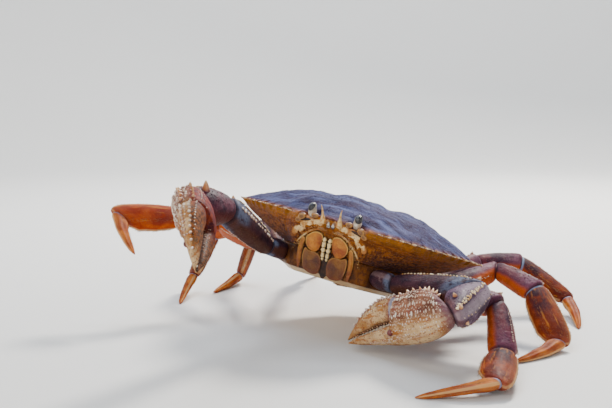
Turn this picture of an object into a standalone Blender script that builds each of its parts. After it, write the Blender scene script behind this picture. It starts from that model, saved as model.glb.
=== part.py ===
"""Life-size Dungeness crab, one claw and one walking leg raised.

Sizes are in millimetres and the meshes are written in metres. The body has axes of its own:
x to the crab's left, -y to its front and z up, with the origin midway between the tips of
the two lateral spines. The floor is z = 0, and the viewer of the raised claw stands at -y.
"""

import math
import random

import bmesh
import bpy
from mathutils import Matrix, Vector

MM = 0.001
GAP = 0.3
UP = Vector((0.0, 0.0, 1.0))

# Body pose: degrees of turn about z, then x, then y
BODY_CENTRE = Vector((36.0, 0.0, 65.5))
BODY_YAW = -19.0
BODY_PITCH = -13.5
BODY_ROLL = 12.5

# Carapace
HALF_WIDTH = 90.0
FRONT_REACH = 60.0
MARGIN_POWER = 1.7
BACK_REACH = 52.0
CROWN_HEIGHT = 21.0
CROWN_Y = -4.0
LID_Z = -20.0
FACE_Y = -62.0
FACE_LEAN = 0.37
TOOTH_COUNT = 9
TOOTH_DEPTH = 2.8
FRONT_TEETH = [(0.0, -64.5), (2.2, -62.4), (4.6, -64.2), (7.0, -62.0), (9.4, -62.8)]
ORBIT = [(11.0, -56.0), (12.4, -53.2), (19.2, -53.2), (21.0, -55.2)]
POSTORBITAL_TOOTH = (24.6, -60.2)
SPINE_ROOT_FRONT = (80.5, -10.0)
SPINE_ROOT_BACK = (81.0, 5.0)
BACK_CORNER = (36.0, 49.0)

# Underbody: the face, flat walls that the limbs grow from, then the back
FACE_CORNER_X = 21.5
LIMB_CORNERS = [(27.0, -47.5), (37.5, -33.5), (45.0, -18.0), (48.0, -1.0), (45.5, 15.0), (36.0, 29.0)]
BACK_EDGE = [(24.0, 38.0), (10.0, 41.0)]
WALL_FOOT_Z = -34.0
STERNUM_Z = -37.5
STERNUM_INSET = 0.82

# Limb segment lengths, from the root out
CLAW_LENGTHS = [15.0, 52.0, 35.0]
CHELA_LENGTH = 81.0
CHELA_BEND = 25.0
WRIST_REACH = 36.0
LEG_LENGTHS = [16.0, 55.0, 35.0, 42.0, 44.0]
LAST_LEG_LENGTHS = [14.0, 43.0, 27.0, 33.0, 36.0]
ROOT_Z = -27.2

# Points that each limb's joints reach for: x, y, z in the room
CLAW_REACH = {
    "right": [(-46, -72, 86), (-64, -98, 94), (-59, -170, 86)],
    "left": [(101, -91, 40), (82, -120, 36), (27, -64, 16)],
}
LEG_REACH = {
    "right": [
        [(-60, 34, 64), (-92, 20, 71), (-129, 14, 73), (-119, -21, 54)],
        [(-50, 66, 60), (-72, 88, 52), (-90, 94, 18), (-98, 60, 0)],
        [(-28, 90, 55), (-42, 116, 46), (-54, 126, 14), (-72, 98, 0)],
        [(2, 88, 50), (2, 112, 42), (0, 136, 16), (10, 162, 0)],
    ],
    "left": [
        [(114, -84, 31), (113, -112, 11), (99, -158, 6), (52, -160, 0)],
        [(134, -8, 38), (149, -34, 31), (157, -63, 10), (128, -97, 0)],
        [(132, 32, 38), (165, 38, 34), (193, 22, 10), (190, -18, 0)],
        [(104, 62, 36), (120, 80, 30), (130, 102, 8), (118, 134, 0)],
    ],
}
ROOT_SPREAD = 0.8
RAISED_LEG = (2, "right")
FOOT_SINK = 0.45

# Cross-sections along a segment: place from 0 to 1, top, bottom, half width
ROOT_SHAPE = [(0.0, 5.8, -5.8, 5.4), (0.35, 6.6, -6.6, 6.0), (1.0, 6.4, -6.2, 5.2)]
LEG_SHAPES = {
    "merus": [
        (0.0, 6.2, -6.0, 4.6),
        (0.15, 7.6, -7.2, 5.4),
        (0.5, 9.2, -8.0, 6.0),
        (0.82, 9.4, -7.4, 6.2),
        (0.95, 8.4, -6.2, 6.0),
        (1.0, 7.0, -5.4, 5.4),
    ],
    "carpus": [
        (0.0, 6.2, -5.0, 5.0),
        (0.15, 7.6, -5.4, 5.8),
        (0.55, 8.8, -6.6, 6.4),
        (0.88, 8.8, -7.4, 6.0),
        (1.0, 7.6, -6.8, 5.4),
    ],
    "propodus": [
        (0.0, 7.2, -6.6, 4.8),
        (0.15, 8.8, -7.8, 5.2),
        (0.5, 9.8, -9.2, 5.0),
        (0.82, 9.0, -9.2, 4.4),
        (1.0, 6.2, -6.4, 3.8),
    ],
    "dactyl": [
        (0.0, 4.4, -4.4, 3.4),
        (0.12, 5.0, -4.4, 3.6),
        (0.35, 5.0, -3.0, 3.0),
        (0.6, 3.4, -2.8, 2.3),
        (0.8, 1.4, -2.9, 1.6),
        (0.93, -0.7, -2.9, 1.0),
        (1.0, -2.0, -2.8, 0.5),
    ],
}
CLAW_SHAPES = {
    "merus": [
        (0.0, 5.6, -5.6, 5.4),
        (0.2, 7.4, -7.0, 7.0),
        (0.6, 9.6, -8.4, 8.4),
        (0.9, 10.2, -8.2, 8.8),
        (1.0, 8.6, -7.0, 7.6),
    ],
    "carpus": [
        (0.0, 8.2, -6.6, 7.4),
        (0.2, 11.0, -8.6, 9.6),
        (0.6, 12.6, -10.4, 11.2),
        (0.9, 10.4, -8.8, 9.0),
        (1.0, 7.0, -6.4, 6.2),
    ],
}
# Along the chela, in millimetres from the wrist
PALM_SHAPE = [
    (0.0, 6.2, -6.2, 5.4),
    (4.0, 9.6, -8.4, 7.4),
    (12.0, 14.0, -12.2, 9.4),
    (25.0, 16.0, -15.0, 10.4),
    (38.0, 15.0, -15.4, 9.8),
    (42.4, 13.8, -15.2, 8.8),
    (43.4, -2.6, -15.2, 7.6),
    (52.0, -4.6, -14.8, 5.6),
    (62.0, -7.0, -14.4, 4.4),
    (72.0, -9.4, -14.0, 3.0),
    (81.0, -12.2, -13.2, 0.6),
]
FINGER_SHAPE = [
    (43.8, 12.4, -1.0, 7.0),
    (47.0, 14.2, -1.8, 7.0),
    (55.0, 13.2, -2.8, 5.8),
    (63.0, 9.6, -5.0, 4.6),
    (71.0, 3.6, -7.6, 3.4),
    (78.0, -4.6, -9.8, 1.8),
    (81.6, -10.0, -11.0, 0.6),
]
# Spikes: how deep their roots are sunk, as a share of their radius, and how they vary
SPIKE_SINK = 0.9
SPIKE_VARIATION = 0.15
# Rows along the chela: part, first and last distance, count, turn from the top in degrees
# towards the outer side, radius, length, lean to the tip
CHELA_ROWS = [
    ("palm", 7.0, 40.0, 8, -12.0, 1.5, 3.0, 0.35),
    ("palm", 9.0, 39.0, 6, 18.0, 1.2, 1.8, 0.3),
    ("palm", 10.0, 40.0, 9, 48.0, 1.1, 1.3, 0.15),
    ("palm", 9.0, 41.0, 9, 78.0, 1.1, 1.2, 0.15),
    ("palm", 10.0, 44.0, 9, 108.0, 1.0, 1.0, 0.1),
    ("palm", 50.0, 70.0, 5, 4.0, 1.5, 1.3, 0.0),
    ("finger", 49.0, 76.0, 12, -6.0, 1.1, 1.9, 0.55),
    ("finger", 48.0, 68.0, 7, 34.0, 0.9, 1.1, 0.3),
    ("finger", 53.0, 73.0, 5, 178.0, 1.5, 1.2, 0.0),
]
# Spikes of the arms and legs: place along, turn, radius, length, lean to the tip
ARM_SPIKES = {
    "merus": [(0.9, 25.0, 1.8, 3.4, 0.6), (0.62, 8.0, 1.4, 2.2, 0.4), (0.92, -30.0, 1.5, 2.4, 0.6)],
    "carpus": [
        (0.74, -62.0, 2.6, 7.5, 0.5),
        (0.86, -20.0, 1.6, 2.6, 0.5),
        (0.66, 12.0, 1.4, 2.0, 0.4),
        (0.84, 34.0, 1.5, 2.2, 0.4),
        (0.5, 40.0, 1.3, 1.6, 0.3),
    ],
}
LEG_SPIKES = {
    "merus": [(0.93, 0.0, 1.4, 2.2, 0.6)],
    "carpus": [(0.9, 12.0, 1.3, 2.0, 0.6), (0.5, 4.0, 1.1, 1.1, 0.3)],
}

CLAW_LEAN = {"right": Vector((-0.3, 0.0, 1.0)), "left": Vector((0.1, 0.35, 1.0))}

# Eyes, feelers, jaws and apron
EYE_PLACE = (14.6, -57.0)
EYE_AIM = Vector((0.3, -0.25, 0.95))
EYE_SHAPE = [
    (0.0, 2.4, -2.4, 2.4),
    (2.2, 2.2, -2.2, 2.2),
    (4.6, 2.7, -2.7, 2.7),
    (6.4, 3.5, -3.3, 3.3),
    (8.6, 3.4, -3.2, 3.2),
    (10.2, 2.0, -2.0, 2.0),
]
FEELER_PLACE = (7.2, -3.2)
FEELER_AIM = Vector((0.06, -0.62, 0.78))
FEELER_SHAPE = [
    (0.0, 1.7, -1.7, 1.7),
    (3.0, 1.4, -1.4, 1.4),
    (3.8, 0.9, -0.9, 0.9),
    (12.0, 0.35, -0.35, 0.35),
]
# Pieces fused to each jaw: x, place down the face, rise, half width, half length, half rise
JAW_BITS = [
    (13.6, 29.0, 1.4, 2.5, 10.0, 1.6),
    (2.6, 17.6, 2.2, 1.8, 3.4, 1.7),
    (2.5, 22.8, 2.4, 1.7, 3.0, 1.7),
    (2.4, 27.6, 2.2, 1.5, 2.8, 1.5),
]
# Along the jaw, down the face: place, inner edge, outer edge, thickness
JAW_SHAPE = [
    (9.4, 5.0, 11.6, 0.9),
    (10.8, 3.4, 13.8, 2.2),
    (14.0, 2.2, 14.8, 3.0),
    (18.0, 1.8, 13.8, 3.0),
    (20.4, 2.0, 12.4, 2.0),
    (21.4, 2.0, 12.0, 1.2),
    (22.4, 1.6, 12.4, 2.4),
    (28.0, 1.4, 12.2, 3.0),
    (35.0, 1.4, 11.0, 2.4),
    (38.0, 2.2, 9.4, 1.0),
]
# Round the back of the body and forward under it: y, z, half width
APRON_PATH = [
    (44.2, -21.5, 15.0),
    (44.6, -27.0, 15.0),
    (43.6, -33.0, 14.4),
    (39.4, -38.6, 13.4),
    (32.0, -39.4, 12.0),
    (22.0, -39.4, 9.4),
    (12.0, -39.4, 7.4),
    (2.0, -39.4, 6.2),
    (-6.0, -39.4, 4.6),
    (-10.0, -39.4, 2.0),
]
APRON_THICK = 1.5

COLOURS = {
    "carapace": ((0.20, 0.17, 0.26), 0.42),
    "underside": ((0.46, 0.27, 0.12), 0.55),
    "leg": ((0.42, 0.19, 0.10), 0.45),
    "foot": ((0.72, 0.33, 0.10), 0.42),
    "claw": ((0.66, 0.56, 0.45), 0.45),
    "arm": ((0.16, 0.09, 0.13), 0.45),
    "eye": ((0.03, 0.03, 0.04), 0.15),
    "feeler": ((0.75, 0.36, 0.10), 0.5),
}


def clear_scene():
    for old in list(bpy.data.objects):
        bpy.data.objects.remove(old, do_unlink=True)


def body_turn():
    yaw = Matrix.Rotation(math.radians(BODY_YAW), 3, "Z")
    pitch = Matrix.Rotation(math.radians(BODY_PITCH), 3, "X")
    roll = Matrix.Rotation(math.radians(BODY_ROLL), 3, "Y")
    return yaw @ pitch @ roll


BODY_TURN = body_turn()


def in_room(point):
    """A point of the body's own axes, in the room's."""
    return BODY_CENTRE + BODY_TURN @ Vector(point)


def face_y(z):
    """The face leans back as it goes down."""
    return FACE_Y - FACE_LEAN * z


def make_materials():
    made = {}
    for name, (colour, roughness) in COLOURS.items():
        material = bpy.data.materials.new(name)
        material.use_nodes = True
        shader = material.node_tree.nodes["Principled BSDF"]
        shader.inputs["Base Color"].default_value = (*colour, 1.0)
        shader.inputs["Roughness"].default_value = roughness
        shader.inputs["Metallic"].default_value = 0.0
        made[name] = material
    return made


def solid(name, rings, origin, material, parent):
    """One closed body from rings of equal length, each end closed by a fan round its middle."""
    shape = bmesh.new()
    rows = []
    for ring in rings:
        rows.append([shape.verts.new((point - origin) * MM) for point in ring])
    sides = len(rows[0])
    for row, following in zip(rows, rows[1:]):
        for i in range(sides):
            j = (i + 1) % sides
            shape.faces.new((row[i], row[j], following[j], following[i]))
    for row in (rows[0], rows[-1]):
        middle = sum((vertex.co for vertex in row), Vector()) / sides
        hub = shape.verts.new(middle)
        for i in range(sides):
            shape.faces.new((row[i], row[(i + 1) % sides], hub))
    bmesh.ops.recalc_face_normals(shape, faces=shape.faces)
    bmesh.ops.triangulate(shape, faces=shape.faces)
    mesh = bpy.data.meshes.new(name)
    shape.to_mesh(mesh)
    shape.free()
    mesh.shade_smooth()
    mesh.set_sharp_from_angle(angle=math.radians(40.0))
    mesh.materials.append(material)
    piece = bpy.data.objects.new(name, mesh)
    piece.location = origin * MM
    piece.parent = parent
    bpy.context.collection.objects.link(piece)
    return piece


def section_at(shape, distance):
    """Top, bottom and half width at a distance, between two stations of a shape."""
    for a, b in zip(shape, shape[1:]):
        if a[0] <= distance <= b[0]:
            share = (distance - a[0]) / (b[0] - a[0])
            return [p + (q - p) * share for p, q in zip(a[1:], b[1:])]
    return shape[-1][1:]


def skin_point(place, up, side, section, turn):
    """A point of the surface and its outward direction, at a turn from the top."""
    top, bottom, half_width = section
    rise = math.cos(math.radians(turn))
    across = math.sin(math.radians(turn))
    spread = math.copysign(abs(across) ** 0.85, across)
    half_height = (top - bottom) / 2.0
    point = place + up * ((top + bottom) / 2.0 + rise * half_height) + side * spread * half_width
    outward = up * rise / half_height + side * spread / half_width
    return point, outward.normalized()


def spike(foot, aim, radius, length):
    """A five-sided spike with its root sunk in, as a mesh object in the room."""
    sides = 5
    shape = bmesh.new()
    turn = UP.rotation_difference(aim).to_matrix()
    levels = ((-SPIKE_SINK * radius, 0.9), (length * 0.35, 0.72), (length, 0.12))
    rows = []
    for height, width in levels:
        row = []
        for i in range(sides):
            angle = 2.0 * math.pi * i / sides
            spot = Vector((math.cos(angle), math.sin(angle), 0.0)) * radius * width
            row.append(shape.verts.new((foot + turn @ (spot + UP * height)) * MM))
        rows.append(row)
    for row, following in zip(rows, rows[1:]):
        for i in range(sides):
            j = (i + 1) % sides
            shape.faces.new((row[i], row[j], following[j], following[i]))
    shape.faces.new(rows[0])
    shape.faces.new(rows[-1])
    bmesh.ops.recalc_face_normals(shape, faces=shape.faces)
    mesh = bpy.data.meshes.new("spike")
    shape.to_mesh(mesh)
    shape.free()
    return bpy.data.objects.new("spike", mesh)


def bead(centre, axes, sizes):
    """An eight-sided egg shape, as a mesh object in the room."""
    shape = bmesh.new()
    bmesh.ops.create_uvsphere(shape, u_segments=8, v_segments=5, radius=1.0)
    for vertex in shape.verts:
        spot = centre.copy()
        for axis, size, share in zip(axes, sizes, vertex.co):
            spot += axis * size * share
        vertex.co = spot * MM
    bmesh.ops.recalc_face_normals(shape, faces=shape.faces)
    mesh = bpy.data.meshes.new("bead")
    shape.to_mesh(mesh)
    shape.free()
    return bpy.data.objects.new("bead", mesh)


def keep_largest(mesh):
    """Drops every closed surface of a mesh but the largest."""
    shape = bmesh.new()
    shape.from_mesh(mesh)
    left = set(shape.faces)
    groups = []
    while left:
        stack = [left.pop()]
        group = []
        while stack:
            face = stack.pop()
            group.append(face)
            for edge in face.edges:
                for other in edge.link_faces:
                    if other in left:
                        left.remove(other)
                        stack.append(other)
        groups.append(group)
    groups.sort(key=lambda group: sum(face.calc_area() for face in group))
    for group in groups[:-1]:
        bmesh.ops.delete(shape, geom=group, context="FACES")
    bmesh.ops.triangulate(shape, faces=shape.faces)
    bmesh.ops.recalc_face_normals(shape, faces=shape.faces)
    shape.to_mesh(mesh)
    shape.free()


def fuse(piece, bits):
    """Joins small closed pieces to a piece by one union, and removes them."""
    bpy.context.view_layer.update()
    holder = bpy.data.collections.new("bits")
    bpy.context.scene.collection.children.link(holder)
    for bit in bits:
        holder.objects.link(bit)
    union = piece.modifiers.new("bits", "BOOLEAN")
    union.operation = "UNION"
    union.solver = "EXACT"
    union.operand_type = "COLLECTION"
    union.collection = holder
    bpy.context.view_layer.update()
    depsgraph = bpy.context.evaluated_depsgraph_get()
    joined = bpy.data.meshes.new_from_object(piece.evaluated_get(depsgraph))
    piece.modifiers.clear()
    joined.name = piece.name
    piece.data = joined
    for bit in bits:
        bpy.data.objects.remove(bit, do_unlink=True)
    bpy.data.collections.remove(holder)
    keep_largest(joined)
    joined.shade_smooth()
    joined.set_sharp_from_angle(angle=math.radians(40.0))


def varied(rng, size):
    """A size changed a little by chance."""
    return size * (1.0 + rng.uniform(-SPIKE_VARIATION, SPIKE_VARIATION))


def resized(shape, size):
    """A table of cross-sections for a thicker or thinner limb."""
    return [(place, top * size, low * size, wide * size) for place, top, low, wide in shape]


def segment_spikes(rng, start, end, dorsal, shape, spikes, outer):
    """Spikes of one arm or leg segment; the sense of their turn differs between the sides."""
    axis = (end - start).normalized()
    length = (end - start).length
    up = (dorsal - axis * dorsal.dot(axis)).normalized()
    side = axis.cross(up)
    made = []
    for place, turn, radius, reach, lean in spikes:
        section = section_at(shape, place)
        spot = start + axis * place * length
        foot, outward = skin_point(spot, up, side, section, turn * outer)
        aim = (outward + axis * lean).normalized()
        made.append(spike(foot, aim, varied(rng, radius), varied(rng, reach)))
    return made


def lean_to_wrist(offset, distance, axis, wrist_normal):
    """Shifts a point near the wrist along the palm, so that its first ring lies in the joint."""
    if distance >= WRIST_REACH:
        return offset
    short = (GAP / 2.0 - wrist_normal.dot(offset)) / wrist_normal.dot(axis)
    return offset + axis * short * (1.0 - distance / WRIST_REACH) ** 2


def chela_spikes(rng, at, part, shape, wrist_normal, outer):
    """The rows of spikes of a palm or a finger; they are tallest midway along a row."""
    made = []
    for owner, first, last, count, turn, radius, reach, lean in CHELA_ROWS:
        if owner != part:
            continue
        for i in range(count):
            share = i / (count - 1)
            distance = first + (last - first) * share
            place, axis, up, side = at(distance)
            section = section_at(shape, distance)
            foot, outward = skin_point(place, up, side, section, turn * outer)
            foot = place + lean_to_wrist(foot - place, distance, axis, wrist_normal)
            aim = (outward + axis * lean).normalized()
            size = 0.75 + 0.5 * math.sin(math.pi * (0.15 + 0.7 * share))
            made.append(spike(foot, aim, varied(rng, radius), varied(rng, reach) * size))
    return made


def stand_flat(piece):
    """Cuts what reaches below the floor, which leaves a small flat at z = 0."""
    shape = bmesh.new()
    shape.from_mesh(piece.data)
    depth = Vector((0.0, 0.0, -piece.location.z))
    if min(vertex.co.z for vertex in shape.verts) < depth.z:
        whole = list(shape.verts) + list(shape.edges) + list(shape.faces)
        cut = bmesh.ops.bisect_plane(
            shape, geom=whole, plane_co=depth, plane_no=-UP, clear_outer=True
        )
        rim = [item for item in cut["geom_cut"] if isinstance(item, bmesh.types.BMEdge)]
        flat = bmesh.ops.contextual_create(shape, geom=rim)
        bmesh.ops.triangulate(shape, faces=flat["faces"])
        bmesh.ops.recalc_face_normals(shape, faces=shape.faces)
        shape.to_mesh(piece.data)
    shape.free()


def margin_point(turn):
    """A point of the front margin, from the face (0) to the lateral spine (90)."""
    power = 2.0 / MARGIN_POWER
    x = HALF_WIDTH * math.sin(math.radians(turn)) ** power
    y = -FRONT_REACH * math.cos(math.radians(turn)) ** power
    return Vector((x, y, 0.0))


def margin_half():
    """The left half of the margin: rows of a toothed point and the smooth point inside it."""
    rows = []
    for x, y in FRONT_TEETH + ORBIT + [POSTORBITAL_TOOTH]:
        rows.append((Vector((x, y, 0.0)), Vector((x, FACE_Y + 1.5, 0.0)), "face"))
    first, last = 26.0, 76.0
    pitch = (last - first) / TOOTH_COUNT
    for tooth in range(TOOTH_COUNT):
        turn = first + pitch * (tooth + 0.5)
        for shift, out in ((-0.42, -1.0), (-0.2, 0.35), (0.22, -0.25)):
            smooth = margin_point(turn + shift * pitch)
            outward = Vector((smooth.x / HALF_WIDTH, smooth.y / FRONT_REACH, 0.0)).normalized()
            rows.append((smooth + outward * out * TOOTH_DEPTH, smooth - outward, "side"))
    for point, inner in (
        (SPINE_ROOT_FRONT, 0.97),
        ((HALF_WIDTH, 0.0), 0.92),
        (SPINE_ROOT_BACK, 0.98),
    ):
        corner = Vector((*point, 0.0))
        rows.append((corner, Vector((corner.x * inner, corner.y, 0.0)), "side"))
    start, end = Vector((*SPINE_ROOT_BACK, 0.0)), Vector((*BACK_CORNER, 0.0))
    bulge = Vector((0.7, 0.7, 0.0))
    for step in range(1, 8):
        share = step / 8.0
        point = start.lerp(end, share) + bulge * 2.2 * math.sin(math.pi * share ** 1.6)
        rows.append((point, point * 0.99, "side"))
    for step in range(4):
        x = BACK_CORNER[0] * (1.0 - step / 3.6)
        y = BACK_REACH - (BACK_REACH - BACK_CORNER[1]) * (x / BACK_CORNER[0]) ** 3
        point = Vector((x, y, 0.0))
        rows.append((point, point * 0.99, "side"))
    return rows


def mirrored(point):
    return Vector((-point.x, point.y, point.z))


def whole_margin():
    half = margin_half()
    other = [(mirrored(a), mirrored(b), kind) for a, b, kind in reversed(half[1:])]
    return half + other


def limb_outline(z):
    """Corners of the underbody at one height: the face, five flats on each side, the back."""
    half = [Vector((FACE_CORNER_X, face_y(z), z))]
    half += [Vector((x, y, z)) for x, y in LIMB_CORNERS]
    half += [Vector((x, y, z)) for x, y in BACK_EDGE]
    return half + [mirrored(point) for point in reversed(half)]


def towards_outline(outline, point):
    """Where the line from the crown's middle to a point crosses an outline."""
    middle = Vector((0.0, CROWN_Y))
    ray = (Vector((point.x, point.y)) - middle).normalized()
    for a, b in zip(outline, outline[1:] + outline[:1]):
        start = Vector((a.x, a.y)) - middle
        edge = Vector((b.x - a.x, b.y - a.y))
        cross = ray.x * edge.y - ray.y * edge.x
        if abs(cross) < 1e-9:
            continue
        along = (start.x * edge.y - start.y * edge.x) / cross
        share = (start.x * ray.y - start.y * ray.x) / cross
        if along > 0.0 and -1e-6 <= share <= 1.000001:
            return Vector((middle.x + ray.x * along, middle.y + ray.y * along, a.z))
    return Vector((middle.x, middle.y, outline[0].z))


def crown_z(reach):
    """Height of the shell above its margin, from the middle (0) to the margin (1)."""
    return CROWN_HEIGHT * (1.0 - reach ** 2.3)


def relief(x, y):
    """Low swellings over the stomach, heart and gills."""
    height = 0.0
    for place_x, place_y, spread_x, spread_y, rise in (
        (0.0, -26.0, 20.0, 14.0, 1.5),
        (0.0, 18.0, 11.0, 14.0, 1.7),
        (38.0, 0.0, 20.0, 22.0, 1.3),
        (20.0, 2.0, 5.0, 22.0, -1.2),
        (14.0, 40.0, 16.0, 8.0, 0.8),
    ):
        for side in (-1.0, 1.0):
            across = (x - side * place_x) / spread_x
            along = (y - place_y) / spread_y
            share = 0.5 if place_x == 0.0 else 1.0
            height += share * rise * math.exp(-across * across - along * along)
    return height


def make_carapace(material, parent):
    rows = whole_margin()
    middle = Vector((0.0, CROWN_Y, 0.0))
    rings = []
    for reach in (0.12, 0.28, 0.44, 0.6, 0.75, 0.87, 0.95, 1.0):
        toothed = max(0.0, (reach - 0.9) / 0.1)
        ring = []
        for edge, smooth, kind in rows:
            flat = middle + (smooth.lerp(edge, toothed) - middle) * reach
            flat.z = crown_z(reach) + relief(flat.x, flat.y) * (1.0 - reach ** 4)
            ring.append(flat)
        rings.append(ring)
    base = limb_outline(LID_Z)
    for z, share in ((-4.0, 0.14), (-12.0, 0.55), (LID_Z, 1.0)):
        ring = []
        for edge, smooth, kind in rows:
            if kind == "face":
                narrow = FACE_CORNER_X / POSTORBITAL_TOOTH[0]
                x = smooth.x * (1.0 + (narrow - 1.0) * z / LID_Z)
                ring.append(Vector((x, face_y(z), z)))
            else:
                inner = towards_outline(base, smooth)
                point = smooth.lerp(inner, share)
                point.z = z
                ring.append(point)
        rings.append(ring)
    placed = [[in_room(point) for point in ring] for ring in rings]
    return solid("carapace", placed, in_room((0, 0, 0)), material, parent)


def make_underbody(material, parent):
    rings = []
    for z in (LID_Z - GAP, WALL_FOOT_Z):
        rings.append(limb_outline(z))
    last = limb_outline(STERNUM_Z)
    rings.append(
        [Vector((p.x * STERNUM_INSET, max(p.y * 0.9, face_y(STERNUM_Z)), p.z)) for p in last]
    )
    placed = [[in_room(point) for point in ring] for ring in rings]
    return solid("underbody", placed, in_room((0, 0, LID_Z)), material, parent)


def cross_section(centre, up, side, top, bottom, half_width, sides):
    """Points round one section; its flanks are a little flatter than an ellipse."""
    points = []
    for i in range(sides):
        turn = 2.0 * math.pi * i / sides
        rise = math.cos(turn)
        spread = math.copysign(abs(math.sin(turn)) ** 0.85, math.sin(turn))
        height = (top + bottom) / 2.0 + rise * (top - bottom) / 2.0
        points.append(centre + up * height + side * spread * half_width)
    return points


def segment_rings(start, end, dorsal, shape, start_normal, end_normal, sides=10):
    """Rings of a straight segment whose two ends lie in the joints' planes."""
    axis = end - start
    length = axis.length
    axis = axis.normalized()
    up = (dorsal - axis * dorsal.dot(axis)).normalized()
    side = axis.cross(up)
    rings = []
    for place, top, bottom, half_width in shape:
        ring = []
        for offset in cross_section(Vector(), up, side, top, bottom, half_width, sides):
            begin = (GAP / 2.0 - start_normal.dot(offset)) / start_normal.dot(axis)
            finish = (-GAP / 2.0 - end_normal.dot(offset)) / end_normal.dot(axis)
            along = place * length + begin * (1.0 - place) ** 2 + finish * place ** 2
            ring.append(start + offset + axis * along)
        rings.append(ring)
    return rings


def reach_joints(base, normal, targets, lengths):
    """Joints of a limb: the root stays level with the body, the rest point at their targets."""
    body_up = BODY_TURN @ UP
    ahead = Vector(targets[0]) - base
    level = (ahead - body_up * ahead.dot(body_up)).normalized()
    aim = (normal * ROOT_SPREAD + level).normalized()
    joints = [base, base + aim * lengths[0]]
    for target, length in zip(targets, lengths[1:]):
        aim = (Vector(target) - joints[-1]).normalized()
        joints.append(joints[-1] + aim * length)
    return joints


def swing_tip(joints, tip_z):
    """Turns the last segment up or down until its end is at a height."""
    knuckle, tip = joints[-2], joints[-1]
    length = (tip - knuckle).length
    drop = tip_z - knuckle.z
    flat = Vector((tip.x - knuckle.x, tip.y - knuckle.y, 0.0)).normalized()
    run = math.sqrt(length * length - drop * drop)
    joints[-1] = knuckle + flat * run + UP * drop


def limb_root(pair, side):
    """Middle and outward normal of the flat face that a limb grows from."""
    a = Vector((*LIMB_CORNERS[pair], ROOT_Z))
    b = Vector((*LIMB_CORNERS[pair + 1], ROOT_Z))
    middle = (a + b) / 2.0
    edge = (b - a).normalized()
    normal = Vector((-edge.y, edge.x, 0.0))
    if normal.dot(middle) < 0.0:
        normal = -normal
    if side == "right":
        middle, normal = mirrored(middle), mirrored(normal)
    return in_room(middle), BODY_TURN @ normal


def joint_planes(root_normal, joints):
    """Planes halfway between the directions of the segments that meet in them."""
    aims = [(b - a).normalized() for a, b in zip(joints, joints[1:])]
    planes = [root_normal]
    for before, after in zip(aims, aims[1:]):
        planes.append((before + after).normalized())
    planes.append(aims[-1])
    return aims, planes


def outer_side(aims, index):
    """The side that a segment's ridge is on: the outside of its bends, or else up."""
    side = UP * 0.35
    if index > 0:
        side = side + aims[index - 1] - aims[index]
    if index < len(aims) - 1:
        side = side + aims[index] - aims[index + 1]
    return side


def make_leg(number, side, materials, parent):
    rng = random.Random(f"leg {number} {side}")
    outer = -1.0 if side == "left" else 1.0
    lengths = LAST_LEG_LENGTHS if number == 5 else LEG_LENGTHS
    size = 0.86 if number == 5 else 1.0
    base, normal = limb_root(number - 1, side)
    joints = reach_joints(base, normal, LEG_REACH[side][number - 2], lengths)
    parts = ["ischium", "merus", "carpus", "propodus", "dactyl"]
    last = len(parts) - 1

    def rings_of(index):
        aims, planes = joint_planes(normal, joints)
        shape = ROOT_SHAPE if index == 0 else LEG_SHAPES[parts[index]]
        return segment_rings(
            joints[index],
            joints[index + 1],
            outer_side(aims, index),
            resized(shape, size),
            planes[index],
            planes[index + 1],
        )

    if (number, side) != RAISED_LEG:
        for _ in range(6):
            lowest = min(point.z for ring in rings_of(last) for point in ring)
            swing_tip(joints, joints[-1].z - lowest - FOOT_SINK)
    for index, part in enumerate(parts):
        rings = rings_of(index)
        finish = materials["foot" if part in ("propodus", "dactyl") else "leg"]
        name = f"leg_{number}_{side}_{part}"
        piece = solid(name, rings, joints[index], finish, parent)
        if part in LEG_SPIKES:
            spikes = segment_spikes(
                rng,
                joints[index],
                joints[index + 1],
                outer_side(joint_planes(normal, joints)[0], index),
                resized(LEG_SHAPES[part], size),
                LEG_SPIKES[part],
                outer,
            )
            fuse(piece, spikes)
        stand_flat(piece)


def chela_frame(wrist, target, lean, side):
    """A gently curved centre line for palm and fingers: gives place and axes at a distance."""
    chord = (Vector(target) - wrist).normalized()
    up = (lean - chord * lean.dot(chord)).normalized()
    sense = 1.0 if side == "left" else -1.0
    step = 1.0
    places = [wrist]
    axes = []
    count = int(CHELA_LENGTH + 4)
    for i in range(count):
        bend = math.radians(CHELA_BEND) * (i / CHELA_LENGTH - 0.5) * sense
        axis = Matrix.Rotation(bend, 3, up) @ chord
        axes.append(axis)
        places.append(places[-1] + axis * step)

    def at(distance):
        whole = min(int(distance), count - 1)
        axis = axes[whole]
        place = places[whole] + axis * (distance - whole)
        return place, axis, up, axis.cross(up)

    return at


def chela_rings(at, shape, wrist_normal, sides=14):
    """Rings along the chela's centre line; the palm's first ones lean to the wrist's plane."""
    rings = []
    for distance, top, bottom, half_width in shape:
        place, axis, up, side = at(distance)
        ring = []
        for offset in cross_section(Vector(), up, side, top, bottom, half_width, sides):
            ring.append(place + lean_to_wrist(offset, distance, axis, wrist_normal))
        rings.append(ring)
    return rings


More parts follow.
